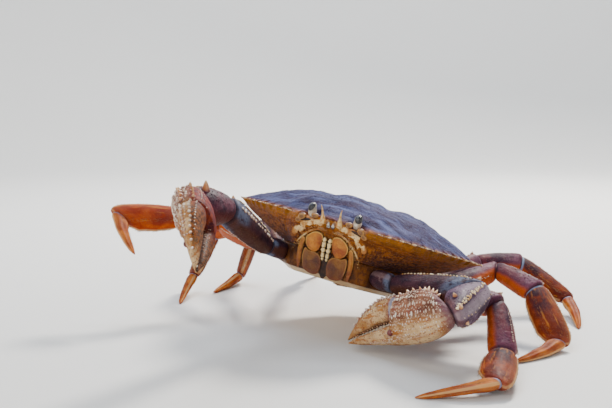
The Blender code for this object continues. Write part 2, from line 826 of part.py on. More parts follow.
def make_claw(side, materials, parent):
    rng = random.Random(f"claw {side}")
    outer = -1.0 if side == "left" else 1.0
    base, normal = limb_root(0, side)
    reach = CLAW_REACH[side]
    joints = reach_joints(base, normal, reach[:2], CLAW_LENGTHS)
    wrist = joints[-1]
    at = chela_frame(wrist, reach[2], CLAW_LEAN[side], side)
    start_axis = at(0.0)[1]
    aims, planes = joint_planes(normal, joints)
    planes[-1] = (aims[-1] + start_axis).normalized()
    for index, part in enumerate(("ischium", "merus", "carpus")):
        shape = ROOT_SHAPE if part == "ischium" else CLAW_SHAPES[part]
        rings = segment_rings(
            joints[index],
            joints[index + 1],
            outer_side(aims + [start_axis], index),
            shape,
            planes[index],
            planes[index + 1],
            sides=12,
        )
        piece = solid(f"claw_{side}_{part}", rings, joints[index], materials["arm"], parent)
        if part in ARM_SPIKES:
            spikes = segment_spikes(
                rng,
                joints[index],
                joints[index + 1],
                outer_side(aims + [start_axis], index),
                shape,
                ARM_SPIKES[part],
                outer,
            )
            fuse(piece, spikes)
    rings = chela_rings(at, PALM_SHAPE, planes[-1])
    palm = solid(f"claw_{side}_palm", rings, wrist, materials["claw"], parent)
    fuse(palm, chela_spikes(rng, at, "palm", PALM_SHAPE, planes[-1], outer))
    rings = chela_rings(at, FINGER_SHAPE, planes[-1])
    hinge = at(FINGER_SHAPE[0][0])[0]
    finger = solid(f"claw_{side}_finger", rings, hinge, materials["claw"], parent)
    fuse(finger, chela_spikes(rng, at, "finger", FINGER_SHAPE, planes[-1], outer))


def post_rings(foot, aim, shape, foot_normal, sides=8):
    """Rings of a short post: flat on what it grows from, square at its tip."""
    helper = Vector((0.0, 1.0, 0.0))
    side = aim.cross(helper).normalized()
    up = side.cross(aim)
    rings = []
    for index, (distance, top, bottom, half_width) in enumerate(shape):
        ring = cross_section(foot + aim * distance, up, side, top, bottom, half_width, sides)
        if index == 0:
            ring = [
                p + aim * ((GAP - foot_normal.dot(p - foot)) / foot_normal.dot(aim)) for p in ring
            ]
        rings.append(ring)
    return rings


def make_eye(side, material, parent):
    sense = 1.0 if side == "left" else -1.0
    x, y = EYE_PLACE
    front, back = Vector((x, face_y(-4.0), -4.0)), Vector((x, ORBIT[1][1], 0.0))
    slope = (front - back).normalized()
    foot = back + slope * ((y - back.y) / slope.y)
    normal = slope.cross(Vector((1.0, 0.0, 0.0)))
    if normal.z < 0.0:
        normal = -normal
    aim = EYE_AIM.normalized()
    foot.x *= sense
    aim = Vector((aim.x * sense, aim.y, aim.z))
    rings = post_rings(foot, aim, EYE_SHAPE, normal)
    placed = [[in_room(point) for point in ring] for ring in rings]
    return solid(f"eye_{side}", placed, in_room(foot), material, parent)


def make_feeler(side, material, parent):
    sense = 1.0 if side == "left" else -1.0
    x, z = FEELER_PLACE
    foot = Vector((x * sense, face_y(z), z))
    normal = Vector((0.0, -1.0, -FACE_LEAN)).normalized()
    aim = FEELER_AIM.normalized()
    aim = Vector((aim.x * sense, aim.y, aim.z))
    rings = post_rings(foot, aim, FEELER_SHAPE, normal, sides=6)
    placed = [[in_room(point) for point in ring] for ring in rings]
    return solid(f"antenna_{side}", placed, in_room(foot), material, parent)


def make_jaw(side, material, parent):
    """The outer jaw: a flat-backed plate on the leaning face, domed in front."""
    sense = 1.0 if side == "left" else -1.0
    down = Vector((0.0, FACE_LEAN, -1.0)).normalized()
    out = Vector((0.0, -1.0, -FACE_LEAN)).normalized()
    top = Vector((0.0, FACE_Y, 0.0))
    arch = 5
    rings = []
    for place, inner, outer, thickness in JAW_SHAPE:
        ring = []
        for step in range(arch + 1):
            share = step / arch
            x = (inner + (outer - inner) * share) * sense
            rise = GAP + thickness * math.sin(math.pi * share) ** 0.5
            ring.append(top + down * place + out * rise + Vector((x, 0.0, 0.0)))
        for share in (0.75, 0.25):
            x = (inner + (outer - inner) * share) * sense
            ring.append(top + down * place + out * GAP + Vector((x, 0.0, 0.0)))
        rings.append(ring)
    placed = [[in_room(point) for point in ring] for ring in rings]
    foot = in_room(top + down * JAW_SHAPE[0][0])
    jaw = solid(f"jaw_{side}", placed, foot, material, parent)
    axes = [BODY_TURN @ axis for axis in (Vector((1.0, 0.0, 0.0)), down, out)]
    bits = []
    for x, place, rise, half_width, half_length, half_rise in JAW_BITS:
        spot = top + down * place + out * (GAP + rise) + Vector((x * sense, 0.0, 0.0))
        bits.append(bead(in_room(spot), axes, (half_width, half_length, half_rise)))
    fuse(jaw, bits)
    return jaw


def make_apron(material, parent):
    rings = []
    count = len(APRON_PATH)
    for index, (y, z, half_width) in enumerate(APRON_PATH):
        before = APRON_PATH[max(index - 1, 0)]
        after = APRON_PATH[min(index + 1, count - 1)]
        along = Vector((0.0, after[0] - before[0], after[1] - before[1])).normalized()
        out = Vector((0.0, -along.z, along.y))
        if out.dot(Vector((0.0, y, z - LID_Z))) < 0.0:
            out = -out
        ring = []
        for x, rise in ((-1, 0), (-0.6, 0.7), (0, 1), (0.6, 0.7), (1, 0), (0.5, -1), (-0.5, -1)):
            offset = Vector((x * half_width, 0.0, 0.0)) + out * rise * APRON_THICK * 0.6
            ring.append(Vector((0.0, y, z)) + offset)
        rings.append(ring)
    placed = [[in_room(point) for point in ring] for ring in rings]
    return solid("apron", placed, placed[0][0], material, parent)


def centre_on_floor(root):
    """Moves the whole crab so that the middle of its box stands over the origin."""
    bpy.context.view_layer.update()
    corners = []
    for piece in root.children:
        corners += [piece.matrix_world @ vertex.co for vertex in piece.data.vertices]
    low = Vector(min(corner[axis] for corner in corners) for axis in range(3))
    high = Vector(max(corner[axis] for corner in corners) for axis in range(3))
    middle = (low + high) / 2.0
    root.location -= Vector((middle.x, middle.y, 0.0))


def main():
    clear_scene()
    materials = make_materials()
    root = bpy.data.objects.new("crab", None)
    bpy.context.collection.objects.link(root)
    make_carapace(materials["carapace"], root)
    make_underbody(materials["underside"], root)
    make_apron(materials["underside"], root)
    for side in ("right", "left"):
        make_eye(side, materials["eye"], root)
        make_feeler(side, materials["feeler"], root)
        make_jaw(side, materials["underside"], root)
        make_claw(side, materials, root)
        for number in range(2, 6):
            make_leg(number, side, materials, root)
    centre_on_floor(root)


main()
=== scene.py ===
"""Life-size Dungeness crab: fine shells, granules, spines, bristles and finishes.

Sizes are in millimetres in the crab's own room, where the viewer stands at -y, and are
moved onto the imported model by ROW_SHIFT. The body has axes of its own: x to the crab's
left, -y to its front and z up, with the origin between the tips of its lateral spines.
Every point carries two painted vectors for the finishes: where, its place in centimetres
on its own piece, and mark, three values that each maker below gives.
"""

import math
import random

import bpy
from mathutils import Matrix, Vector, noise


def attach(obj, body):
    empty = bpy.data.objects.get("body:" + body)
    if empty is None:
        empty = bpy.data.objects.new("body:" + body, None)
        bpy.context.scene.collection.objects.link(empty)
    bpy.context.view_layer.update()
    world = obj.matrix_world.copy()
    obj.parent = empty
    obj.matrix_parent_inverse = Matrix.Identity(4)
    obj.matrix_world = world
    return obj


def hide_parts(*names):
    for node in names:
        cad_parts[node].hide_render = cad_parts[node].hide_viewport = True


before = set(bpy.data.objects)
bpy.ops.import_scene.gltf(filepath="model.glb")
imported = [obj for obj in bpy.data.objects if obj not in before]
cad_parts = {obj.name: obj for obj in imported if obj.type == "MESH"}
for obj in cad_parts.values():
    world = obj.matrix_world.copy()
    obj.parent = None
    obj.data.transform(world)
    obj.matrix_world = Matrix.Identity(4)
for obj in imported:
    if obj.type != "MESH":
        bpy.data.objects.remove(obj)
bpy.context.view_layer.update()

MM = 0.001
CM = 0.1
GAP = 0.3
UP = Vector((0.0, 0.0, 1.0))
ROW_SHIFT = Vector((-28.6148, 8.9108, 0.0))
SENSE = {"left": 1.0, "right": -1.0}
SIDE_SEED = {"left": 0.5, "right": 0.0}


# Tools for the finishes


class Wire:
    """A value inside a finish, so that its maths reads as a plain expression."""

    def __init__(self, finish, socket):
        self.finish = finish
        self.socket = socket

    def __add__(self, other):
        return self.finish.maths("ADD", self, other)

    def __radd__(self, other):
        return self.finish.maths("ADD", other, self)

    def __sub__(self, other):
        return self.finish.maths("SUBTRACT", self, other)

    def __rsub__(self, other):
        return self.finish.maths("SUBTRACT", other, self)

    def __mul__(self, other):
        return self.finish.maths("MULTIPLY", self, other)

    def __rmul__(self, other):
        return self.finish.maths("MULTIPLY", other, self)

    def __neg__(self):
        return self * -1.0

    def size(self):
        return self.finish.maths("ABSOLUTE", self)

    def rise(self, start, end):
        """0 below start, 1 above end, with a smooth step between; start may be the higher."""
        settings = {"interpolation_type": "SMOOTHSTEP"}
        sockets = {"Value": self, "From Min": start, "From Max": end}
        return self.finish.node("ShaderNodeMapRange", settings, sockets)


class Finish:
    """A procedural finish round one principled shader, fed by what is painted on the mesh."""

    def __init__(self, name, constants):
        self.material = bpy.data.materials.new(name)
        self.material.use_nodes = True
        self.tree = self.material.node_tree
        self.shader = self.tree.nodes["Principled BSDF"]
        for socket, value in constants.items():
            self.shader.inputs[socket].default_value = value
        self.where = self.painted("where")
        self.mark = self.axes(self.painted("mark"))

    def feed(self, socket, value):
        if isinstance(value, Wire):
            self.tree.links.new(value.socket, socket)
        elif isinstance(value, tuple) and socket.type == "RGBA":
            socket.default_value = (*value[:3], 1.0)
        else:
            socket.default_value = value

    def node(self, kind, settings, sockets, output=0):
        """One node: its settings first, then its sockets' values or links."""
        made = self.tree.nodes.new(kind)
        for name, value in settings.items():
            setattr(made, name, value)
        for name, value in sockets.items():
            found = [s for s in made.inputs if s.identifier == name]
            found += [s for s in made.inputs if s.name == name and s.enabled]
            self.feed(found[0], value)
        if isinstance(output, str):
            return Wire(self, [s for s in made.outputs if output in (s.identifier, s.name)][0])
        return Wire(self, made.outputs[output])

    def maths(self, operation, *values):
        sockets = dict(zip(("Value", "Value_001"), values))
        return self.node("ShaderNodeMath", {"operation": operation}, sockets)

    def painted(self, name):
        return self.node("ShaderNodeAttribute", {"attribute_name": name}, {}, "Vector")

    def axes(self, vector):
        return [self.node("ShaderNodeSeparateXYZ", {}, {"Vector": vector}, axis) for axis in "XYZ"]

    def spread(self, stretch):
        """Where the point is, with each axis multiplied if wanted."""
        if stretch is None:
            return self.where
        sockets = {"Vector": self.where, "Vector_001": stretch}
        return self.node("ShaderNodeVectorMath", {"operation": "MULTIPLY"}, sockets)

    def mottle(self, scale, detail=2.0, roughness=0.5, stretch=None):
        """Soft cloudy noise between 0 and 1."""
        sockets = {"Scale": scale, "Detail": detail, "Roughness": roughness}
        sockets["Vector"] = self.spread(stretch)
        return self.node("ShaderNodeTexNoise", {}, sockets, "Fac")

    def grains(self, scale, randomness=1.0, stretch=None):
        """Distance to the nearest of many scattered points: 0 in the middle of a granule."""
        sockets = {"Vector": self.spread(stretch), "Scale": scale, "Randomness": randomness}
        return self.node("ShaderNodeTexVoronoi", {"feature": "F1"}, sockets, "Distance")

    def blend(self, share, first, second):
        """A colour between two others."""
        sockets = {"Factor_Float": share, "A_Color": first, "B_Color": second}
        return self.node("ShaderNodeMix", {"data_type": "RGBA"}, sockets, "Result_Color")

    def layers(self, colour, *coats):
        """Colours laid one over another, each as (share, colour)."""
        for share, over in coats:
            colour = self.blend(share, colour, over)
        return colour

    def done(self, colour, roughness, height=None, distance=0.0, strength=1.0):
        """Feeds the shader; the relief comes from heights, with its distance in metres."""
        self.feed(self.shader.inputs["Base Color"], colour)
        self.feed(self.shader.inputs["Roughness"], roughness)
        if height is not None:
            sockets = {"Height": height, "Distance": distance, "Strength": strength}
            self.feed(self.shader.inputs["Normal"], self.node("ShaderNodeBump", {}, sockets))
        return self.material


def gloss(coat, coat_roughness, specular=0.5):
    return {"Coat Weight": coat, "Coat Roughness": coat_roughness, "Specular IOR Level": specular}


DRY_SHELL = gloss(0.02, 0.3, 0.1)


# Finishes of this crab


def shell_finish(name, bloom):
    """Blue-violet with brown folds above, their crests given painted highlights and shade; gold and
    brown, finely streaked, on face and flanks.
    """
    sockets = {
        "Coat Weight": 0.0,
        "Specular IOR Level": 0.08,
        "Sheen Weight": bloom,
        "Sheen Roughness": 0.36,
        "Sheen Tint": (0.36, 0.48, 1.0, 1.0),
    }
    f = Finish(name, sockets)
    x, y, _ = f.axes(f.where)
    reach, below, tip = f.mark
    cloud = f.mottle(1.0, 4.0, 0.6, (0.5, 0.9, 0.5))
    patch = f.mottle(1.0, 5.0, 0.62, (0.7, 1.7, 1.0))
    waves = f.mottle(1.1, 6.0, 0.64, (0.75, 2.0, 1.0))
    crests = f.mottle(1.0, 3.0, 0.5, (0.22, 1.5, 1.0))
    zones = f.mottle(0.3, 3.0, 0.55)
    speck = f.mottle(7.0, 3.0, 0.6)
    grain = f.grains(9.0)
    rim = reach.rise(0.935, 0.995)
    brow = rim * (-y).rise(3.4, 4.8) * x.size().rise(1.5, 2.1)
    top = f.layers(
        f.blend(cloud.rise(0.38, 0.62), (0.018, 0.010, 0.036), (0.026, 0.032, 0.115)),
        (patch.rise(0.42, 0.6) * 0.9, (0.036, 0.014, 0.03)),
        # Pale blue streaks and crests are painted highlights on the folds; the dark beside the
        # crests is painted shade.
        (waves.rise(0.54, 0.68) * (0.3 + zones.rise(0.4, 0.6) * 0.4), (0.13, 0.17, 0.44)),
        (crests.rise(0.52, 0.66) * 0.46, (0.20, 0.24, 0.52)),
        (crests.rise(0.48, 0.36) * 0.5, (0.016, 0.008, 0.026)),
        (zones.rise(0.5, 0.62) * 0.3, (0.075, 0.04, 0.06)),
        (speck.rise(0.58, 0.7) * 0.5, (0.03, 0.015, 0.035)),
        (grain.rise(0.24, 0.08) * 0.4, (0.22, 0.18, 0.28)),
        (rim * (0.35 + patch * 0.6), (0.15, 0.045, 0.016)),
        (brow * (0.5 + speck * 0.7), (0.19, 0.06, 0.014)),
    )
    streaks = f.mottle(1.0, 3.0, 0.6, (1.3, 1.3, 9.0))
    combs = f.mottle(1.0, 3.0, 0.6, (8.0, 8.0, 1.1))
    worms = f.mottle(1.0, 2.0, 0.5, (5.0, 5.0, 3.2))
    beads = f.grains(1.0, 1.0, (9.0, 9.0, 6.0))
    lower = below.rise(0.5, 0.68)
    low = below.rise(0.62, 1.0) * (1.0 - reach.rise(0.3, 0.7) * 0.6)
    amber = f.layers(
        f.blend(streaks.rise(0.4, 0.6), (0.13, 0.036, 0.007), (0.30, 0.088, 0.011)),
        (worms.rise(0.54, 0.68) * 0.4, (0.06, 0.016, 0.005)),
        (cloud.rise(0.56, 0.7) * 0.4, (0.42, 0.16, 0.032)),
        (beads.rise(0.26, 0.1) * 0.5, (0.50, 0.24, 0.05)),
        # Lighter just under the margin: a painted highlight.
        (below.rise(0.5, 0.29) * 0.4, (0.50, 0.20, 0.02)),
        (lower * combs.rise(0.5, 0.6) * 0.8, (0.045, 0.014, 0.006)),
        (lower * combs.rise(0.45, 0.36) * 0.7, (0.40, 0.15, 0.02)),
        # Darker low down on the flanks: painted shade.
        (low * 0.7, (0.04, 0.015, 0.012)),
        (x.size().rise(4.2, 7.5) * 0.45, (0.06, 0.02, 0.008)),
    )
    colour = f.layers(
        top, (below.rise(0.02, 0.27), amber), (tip.rise(0.35, 0.9) * 0.9, (0.42, 0.15, 0.035))
    )
    pits = f.grains(17.0)
    fold = f.mottle(3.2, 6.0, 0.62)
    height = grain.rise(0.42, 0.02) * 0.5 + pits.rise(0.5, 0.1) * 0.2
    height = height + fold * 0.9 + waves * 0.9 + crests * 1.6
    height = height + (beads.rise(0.4, 0.05) * 0.7 - worms * 0.9) * below.rise(0.1, 0.4)
    shine = 0.55 + fold * 0.2 + patch.rise(0.4, 0.7) * 0.1
    return f.done(colour, shine, height, 0.00095, 0.85)


def face_finish():
    """The plates that frame the mouth: cream tops fading to amber and brown."""
    f = Finish("mouth frame", gloss(0.15, 0.2, 0.4))
    share = f.mark[0]
    cloud = f.mottle(2.6, 4.0, 0.6)
    grain = f.grains(12.0)
    speck = f.mottle(9.0, 3.0)
    cream = f.blend(cloud.rise(0.38, 0.6), (0.50, 0.22, 0.04), (0.76, 0.54, 0.25))
    colour = f.layers(
        (0.34, 0.11, 0.008),
        ((share + cloud * 1.2 - 0.6).rise(0.35, 0.95), cream),
        (speck.rise(0.55, 0.68) * 0.6, (0.16, 0.05, 0.012)),
        (grain.rise(0.2, 0.06) * 0.4, (0.74, 0.54, 0.26)),
    )
    return f.done(colour, 0.38 + speck * 0.2, grain.rise(0.36, 0.04) * 0.4 + cloud, 0.0006, 0.8)


def brow_finish():
    """Lobes round the eyes and feelers: amber with a brown middle and violet shades."""
    f = Finish("brow", gloss(0.15, 0.2, 0.4))
    share = f.mark[0]
    cloud = f.mottle(3.0, 4.0, 0.6)
    speck = f.mottle(9.0, 3.0)
    colour = f.layers(
        f.blend(cloud.rise(0.38, 0.62), (0.10, 0.03, 0.014), (0.36, 0.13, 0.016)),
        (share.rise(0.3, 0.6) * 0.5, (0.56, 0.29, 0.07)),
        ((share + cloud * 0.5 - 0.25).rise(0.72, 0.95) * 0.7, (0.08, 0.026, 0.014)),
        (speck.rise(0.56, 0.7) * 0.6, (0.075, 0.03, 0.04)),
    )
    return f.done(colour, 0.3 + speck * 0.2, speck + cloud, 0.0005, 0.7)


def wall_finish():
    """The body's side under the flanks: brown and amber, kept dark, partly as painted shade under
    the shell.
    """
    f = Finish("side walls", DRY_SHELL)
    cloud = f.mottle(1.1, 4.0, 0.6)
    worms = f.mottle(1.0, 2.0, 0.5, (5.0, 5.0, 3.2))
    grain = f.grains(9.0)
    colour = f.layers(
        f.blend(cloud.rise(0.38, 0.62), (0.05, 0.017, 0.007), (0.16, 0.052, 0.009)),
        (worms.rise(0.5, 0.64) * 0.6, (0.04, 0.016, 0.014)),
        (grain.rise(0.22, 0.07) * 0.4, (0.34, 0.14, 0.03)),
    )
    height = grain.rise(0.36, 0.04) * 0.5 + worms * 0.6
    return f.done(colour, 0.4 + cloud * 0.15, height, 0.0006, 0.7)


def bead_finish(name, coat, clouds, step, pale, root, rooted, shine, relief):
    """Granules, beads and teeth: pale tops that are darker at the root."""
    f = Finish(name, gloss(*coat))
    cloud = f.mottle(*clouds)
    colour = f.blend(f.mark[0].rise(0.0, rooted), root, f.blend(cloud.rise(*step), *pale))
    height, distance, strength = relief
    height = f.mottle(height, 2.0) if height else cloud
    return f.done(colour, shine + cloud * 0.15, height, distance, strength)


def thorn_finish():
    """Spines of the claws: purple at the root, orange above, a horn-coloured point."""
    f = Finish("claw spines", gloss(0.4, 0.18))
    share = f.mark[0]
    cloud = f.mottle(3.0, 2.0)
    warm = f.blend(cloud.rise(0.38, 0.62), (0.52, 0.19, 0.06), (0.66, 0.38, 0.18))
    colour = f.layers(
        (0.17, 0.055, 0.06),
        (share.rise(0.0, 0.45), warm),
        (share.rise(0.6, 0.95) * 0.8, (0.74, 0.52, 0.28)),
    )
    return f.done(colour, 0.3 + cloud * 0.15, cloud, 0.0002, 0.4)


def bristle_finish():
    f = Finish("bristles", {})
    cloud = f.mottle(4.0, 2.0)
    base = f.blend(cloud, (0.08, 0.03, 0.012), (0.26, 0.13, 0.05))
    colour = f.blend(f.mark[0].rise(0.2, 1.0), base, (0.38, 0.22, 0.09))
    return f.done(colour, 0.55 + cloud * 0.2)


def limb_finish(name, dark, warm, light, under, turn_under, strength, knee, knee_from):
    """Dark shell above, warm below from one turn to another, with pale ridges and granules."""
    f = Finish(name, DRY_SHELL)
    share, top, _ = f.mark
    cloud = f.mottle(0.8, 4.0, 0.6)
    patch = f.mottle(2.2, 4.0, 0.6)
    speck = f.mottle(9.0, 2.0)
    grain = f.grains(9.5)
    below = (cloud * 0.3 - top - 0.15).rise(*turn_under)
    rims = share.rise(0.965, 0.99) + share.rise(0.025, 0.01)
    colour = f.layers(
        f.blend(cloud.rise(0.4, 0.6), dark, warm),
        (patch.rise(0.6, 0.74) * 0.5, light),
        (share.rise(*knee_from) * patch.rise(0.3, 0.5) * 0.7, knee),
        (speck.rise(0.55, 0.68) * 0.5, dark),
        (top.rise(0.94, 0.998) * (0.15 + patch * 0.5), light),
        (below, under),
        (below * patch.rise(0.5, 0.66) * 0.5, tuple(value * 0.5 for value in under)),
        (grain.rise(0.22, 0.06) * 0.4, light),
        (rims * 0.6, dark),
    )
    fold = f.mottle(4.0, 5.0, 0.6)
    height = grain.rise(0.4, 0.02) * strength + fold * 0.8
    return f.done(colour, 0.4 + fold * 0.2, height, 0.0008, 0.75)


def foot_finish(name, deep, bright, mauve, amount):
    """Warm shell with mauve flats, cream edges along the ridges, a pale line at the knee and a
    painted highlight along the upper side.
    """
    f = Finish(name, DRY_SHELL)
    share, top, outer = f.mark
    cloud = f.mottle(0.9, 4.0, 0.6)
    patch = f.mottle(1.7, 4.0, 0.62)
    along = f.mottle(1.0, 3.0, 0.6, (0.45, 3.6, 3.6))
    grain = f.grains(11.0)
    flat = outer.size().rise(0.5, 0.95) * (0.45 + share.rise(0.75, 0.1) * 0.9)
    colour = f.layers(
        f.blend(cloud.rise(0.36, 0.64), deep, bright),
        (flat * patch.rise(0.3, 0.56) * amount, mauve),
        (along.rise(0.55, 0.68) * 0.5, (0.56, 0.19, 0.02)),
        (along.rise(0.44, 0.3) * 0.5, (0.15, 0.022, 0.01)),
        # The upper side is lighter as a painted highlight.
        (top.rise(0.45, 0.95) * 0.2, (0.50, 0.20, 0.12)),
        (top.size().rise(0.955, 0.995) * 0.7, (0.66, 0.38, 0.16)),
        (share.rise(0.93, 0.985) * 0.45, (0.20, 0.04, 0.03)),
        (share.rise(0.05, 0.02) * 0.7, (0.20, 0.28, 0.44)),
        (grain.rise(0.2, 0.05) * 0.3, (0.68, 0.36, 0.14)),
    )
    fold = f.mottle(4.0, 5.0, 0.6)
    height = grain.rise(0.36, 0.04) * 0.35 + fold * 0.6 + along * 0.7
    return f.done(colour, 0.5 + fold * 0.2, height, 0.0007, 0.75)


def hand_finish(name):
    """Ivory with brown marks; purple above and at the wrist, red-orange on the inner face, its
    darkness partly painted shade; the edges along the gape darkened as painted shade.
    """
    f = Finish(name, DRY_SHELL)
    share, top, outer = f.mark
    cloud = f.mottle(0.9, 4.0, 0.6)
    patch = f.mottle(2.6, 4.0, 0.62)
    speck = f.mottle(7.0, 2.0)
    grain = f.grains(8.5)
    lines = f.mottle(1.0, 3.0, 0.6, (0.6, 5.5, 5.5))
    colour = f.layers(
        f.blend(cloud.rise(0.36, 0.62), (0.36, 0.17, 0.055), (0.62, 0.42, 0.22)),
        (lines.rise(0.52, 0.62) * 0.85, (0.38, 0.125, 0.025)),
        (patch.rise(0.56, 0.66) * 0.7, (0.28, 0.085, 0.03)),
        (speck.rise(0.57, 0.67) * 0.75, (0.17, 0.05, 0.03)),
    )
    if name == "finger":
        inner = (-outer).rise(0.02, 0.3) * share.rise(1.0, 0.86)
        red = f.blend(speck.rise(0.4, 0.6), (0.07, 0.006, 0.014), (0.20, 0.03, 0.008))
        brown = f.blend(speck.rise(0.44, 0.56), (0.04, 0.012, 0.007), (0.20, 0.055, 0.01))
        coats = [
            (share.rise(0.64, 0.55) * patch.rise(0.35, 0.55), (0.15, 0.014, 0.02)),
            (share.rise(0.575, 0.555) * 0.7, (0.30, 0.36, 0.48)),
            # The finger's edge along the gape is darkened as painted shade; the inner face's dark
            # red is partly painted shade.
            ((-top).rise(0.7, 0.97) * 0.9, (0.045, 0.018, 0.014)),
            (inner * 0.95, f.blend(share.rise(0.72, 0.56), brown, red)),
        ]
    else:
        upper = top.rise(-0.45, 0.1) * (1.0 - share.rise(0.48, 0.58))
        ground = f.blend(cloud.rise(0.4, 0.62), (0.075, 0.022, 0.026), (0.25, 0.085, 0.055))
        inner = (-outer).rise(-0.08, 0.3)
        red = f.blend(patch.rise(0.38, 0.62), (0.22, 0.012, 0.003), (0.07, 0.004, 0.022))
        brown = f.blend(speck.rise(0.44, 0.56), (0.035, 0.01, 0.006), (0.16, 0.042, 0.008))
        coats = [
            (upper * (0.55 + patch * 0.6), ground),
            (share.rise(0.13, 0.03) * 0.8, (0.12, 0.055, 0.085)),
            # The inner face's dark red is partly painted shade; the fixed finger's edge along the
            # gape is darkened as painted shade.
            (inner * 0.95, f.blend(share.rise(0.4, 0.72), red, brown)),
            (top.rise(0.75, 0.98) * share.rise(0.54, 0.58) * 0.9, (0.045, 0.018, 0.014)),
        ]
    coats.append((grain.rise(0.22, 0.07) * (0.5 - inner * 0.4), (0.74, 0.56, 0.40)))
    fold = f.mottle(4.0, 5.0, 0.6)
    height = grain.rise(0.4, 0.03) * 0.6 + fold * 0.8 - lines * 0.5
    return f.done(f.layers(colour, *coats), 0.5 + fold * 0.2, height, 0.0008, 0.8)


def joint_finish():
    """Soft skin in the joints: purple-brown and red with a little pale blue."""
    f = Finish("joint skin", gloss(0.5, 0.2))
    cloud = f.mottle(2.2, 3.0)
    folds = f.mottle(1.0, 3.0, 0.5, (9.0, 1.2, 1.2))
    colour = f.blend(cloud.rise(0.42, 0.6), (0.085, 0.035, 0.05), (0.26, 0.045, 0.025))
    colour = f.blend(folds.rise(0.54, 0.68) * 0.3, colour, (0.20, 0.25, 0.36))
    return f.done(colour, 0.36 + folds * 0.2, folds, 0.0006, 0.8)


def hinge_finish():
    """The knob of the claw's hinge: glossy dark red."""
    f = Finish("hinge", gloss(0.5, 0.12))
    cloud = f.mottle(3.0, 3.0)
    colour = f.blend(cloud.rise(0.4, 0.62), (0.07, 0.006, 0.01), (0.24, 0.03, 0.012))
    return f.done(colour, 0.25 + cloud * 0.15, cloud, 0.0003, 0.5)


def plate_finish():
    """Jaw plates: orange-amber above, brown-violet below and partly painted shade, with pale rims
    on the lit side as painted highlights.
    """
    f = Finish("jaw plates", gloss(0.12, 0.2, 0.35))
    rim, kind, lit = f.mark
    cloud = f.mottle(1.5, 4.0, 0.6)
    grain = f.grains(12.0)
    speck = f.mottle(8.0, 3.0)
    orange = f.blend(cloud.rise(0.36, 0.64), (0.26, 0.05, 0.0015), (0.50, 0.165, 0.004))
    # Brown of the lower plates, darkened partly as painted shade.
    brown = f.blend(cloud.rise(0.36, 0.6), (0.018, 0.006, 0.006), (0.055, 0.013, 0.003))
    lit_rim_highlight = rim.rise(0.87, 0.945) * (lit * 1.1 + cloud * 0.9 - 0.5).rise(0.0, 0.6)
    colour = f.layers(
        f.blend(kind, brown, orange),
        (rim.rise(0.5, 0.93) * 0.4, (0.20, 0.045, 0.004)),
        # The lit side and its rims are painted highlights.
        (lit.rise(0.5, 1.0) * (0.1 + kind * 0.3), (0.60, 0.25, 0.02)),
        (speck.rise(0.56, 0.7) * 0.5, (0.13, 0.032, 0.008)),
        (lit_rim_highlight * (0.2 + kind * 0.5), (0.68, 0.40, 0.09)),
        (rim.rise(0.975, 0.99) * 0.8, (0.07, 0.025, 0.01)),
        (grain.rise(0.2, 0.05) * 0.35, (0.68, 0.32, 0.05)),
    )
    height = grain.rise(0.36, 0.04) * 0.4 + speck * 0.6 + cloud * 0.8
    return f.done(colour, 0.4 + speck * 0.2, height, 0.0007, 0.8)


def palp_finish():
    f = Finish("palps", gloss(0.4, 0.2))
    share = f.mark[0]
    cloud = f.mottle(4.0, 3.0)
    dots = f.grains(3.6)
    ends = share.rise(0.82, 0.95) + share.rise(0.18, 0.05)
    colour = f.layers(
        f.blend(cloud, (0.62, 0.40, 0.13), (0.80, 0.64, 0.34)),
        (ends * 0.9, (0.05, 0.02, 0.015)),
        (dots.rise(0.26, 0.18) * 0.85, (0.05, 0.022, 0.02)),
    )
    return f.done(colour, 0.33 + cloud * 0.15, cloud, 0.0003, 0.6)


def painted_shadow_finish():
    """Painted shadow: dark brown for the gap between the jaws and the hollows round the eyes."""
    f = Finish("painted shadow", {"Specular IOR Level": 0.3})
    cloud = f.mottle(3.0, 3.0)
    colour = f.blend(cloud.rise(0.4, 0.7), (0.012, 0.005, 0.004), (0.05, 0.016, 0.006))
    return f.done(colour, 0.35 + cloud * 0.2, cloud, 0.0005, 0.6)


def belly_finish():
    """Breast and apron plates: cream and amber, with orange furrows."""
    f = Finish("breast plates", gloss(0.3, 0.25))
    z = f.axes(f.where)[2]
    share, furrow, _ = f.mark
    cloud = f.mottle(0.8, 4.0, 0.6)
    speck = f.mottle(6.0, 3.0)
    grain = f.grains(10.0)
    walls = 1.0 - share.rise(0.0, 0.6) + z.rise(-3.55, -3.15)
    colour = f.layers(
        f.blend(cloud.rise(0.36, 0.64), (0.50, 0.30, 0.13), (0.66, 0.48, 0.27)),
        (speck.rise(0.54, 0.7) * 0.5, (0.40, 0.15, 0.04)),
        (furrow.rise(0.1, 0.6) * 0.8, (0.28, 0.085, 0.02)),
        (walls * (0.6 + cloud * 0.4), (0.20, 0.075, 0.02)),
        (grain.rise(0.2, 0.06) * 0.4, (0.72, 0.54, 0.32)),
    )
    height = grain.rise(0.36, 0.04) * 0.3 + speck * 0.6
    return f.done(colour, 0.4 + speck * 0.15, height, 0.0006, 0.6)


def stalk_finish():
    """Cream bulb outside, brown-violet stalk inside."""
    f = Finish("eye stalk", gloss(0.5, 0.15))
    share = f.mark[0]
    cloud = f.mottle(5.0, 3.0)
    brown = f.blend(cloud.rise(0.4, 0.6), (0.09, 0.035, 0.045), (0.26, 0.10, 0.05))
    colour = f.layers(
        f.blend(cloud.rise(0.4, 0.62), (0.52, 0.40, 0.27), (0.78, 0.74, 0.66)),
        (share.rise(0.26, 0.12), brown),
        (share.rise(0.66, 0.78) * 0.9, brown),
    )
    return f.done(colour, 0.28 + cloud * 0.2, cloud, 0.0003, 0.5)


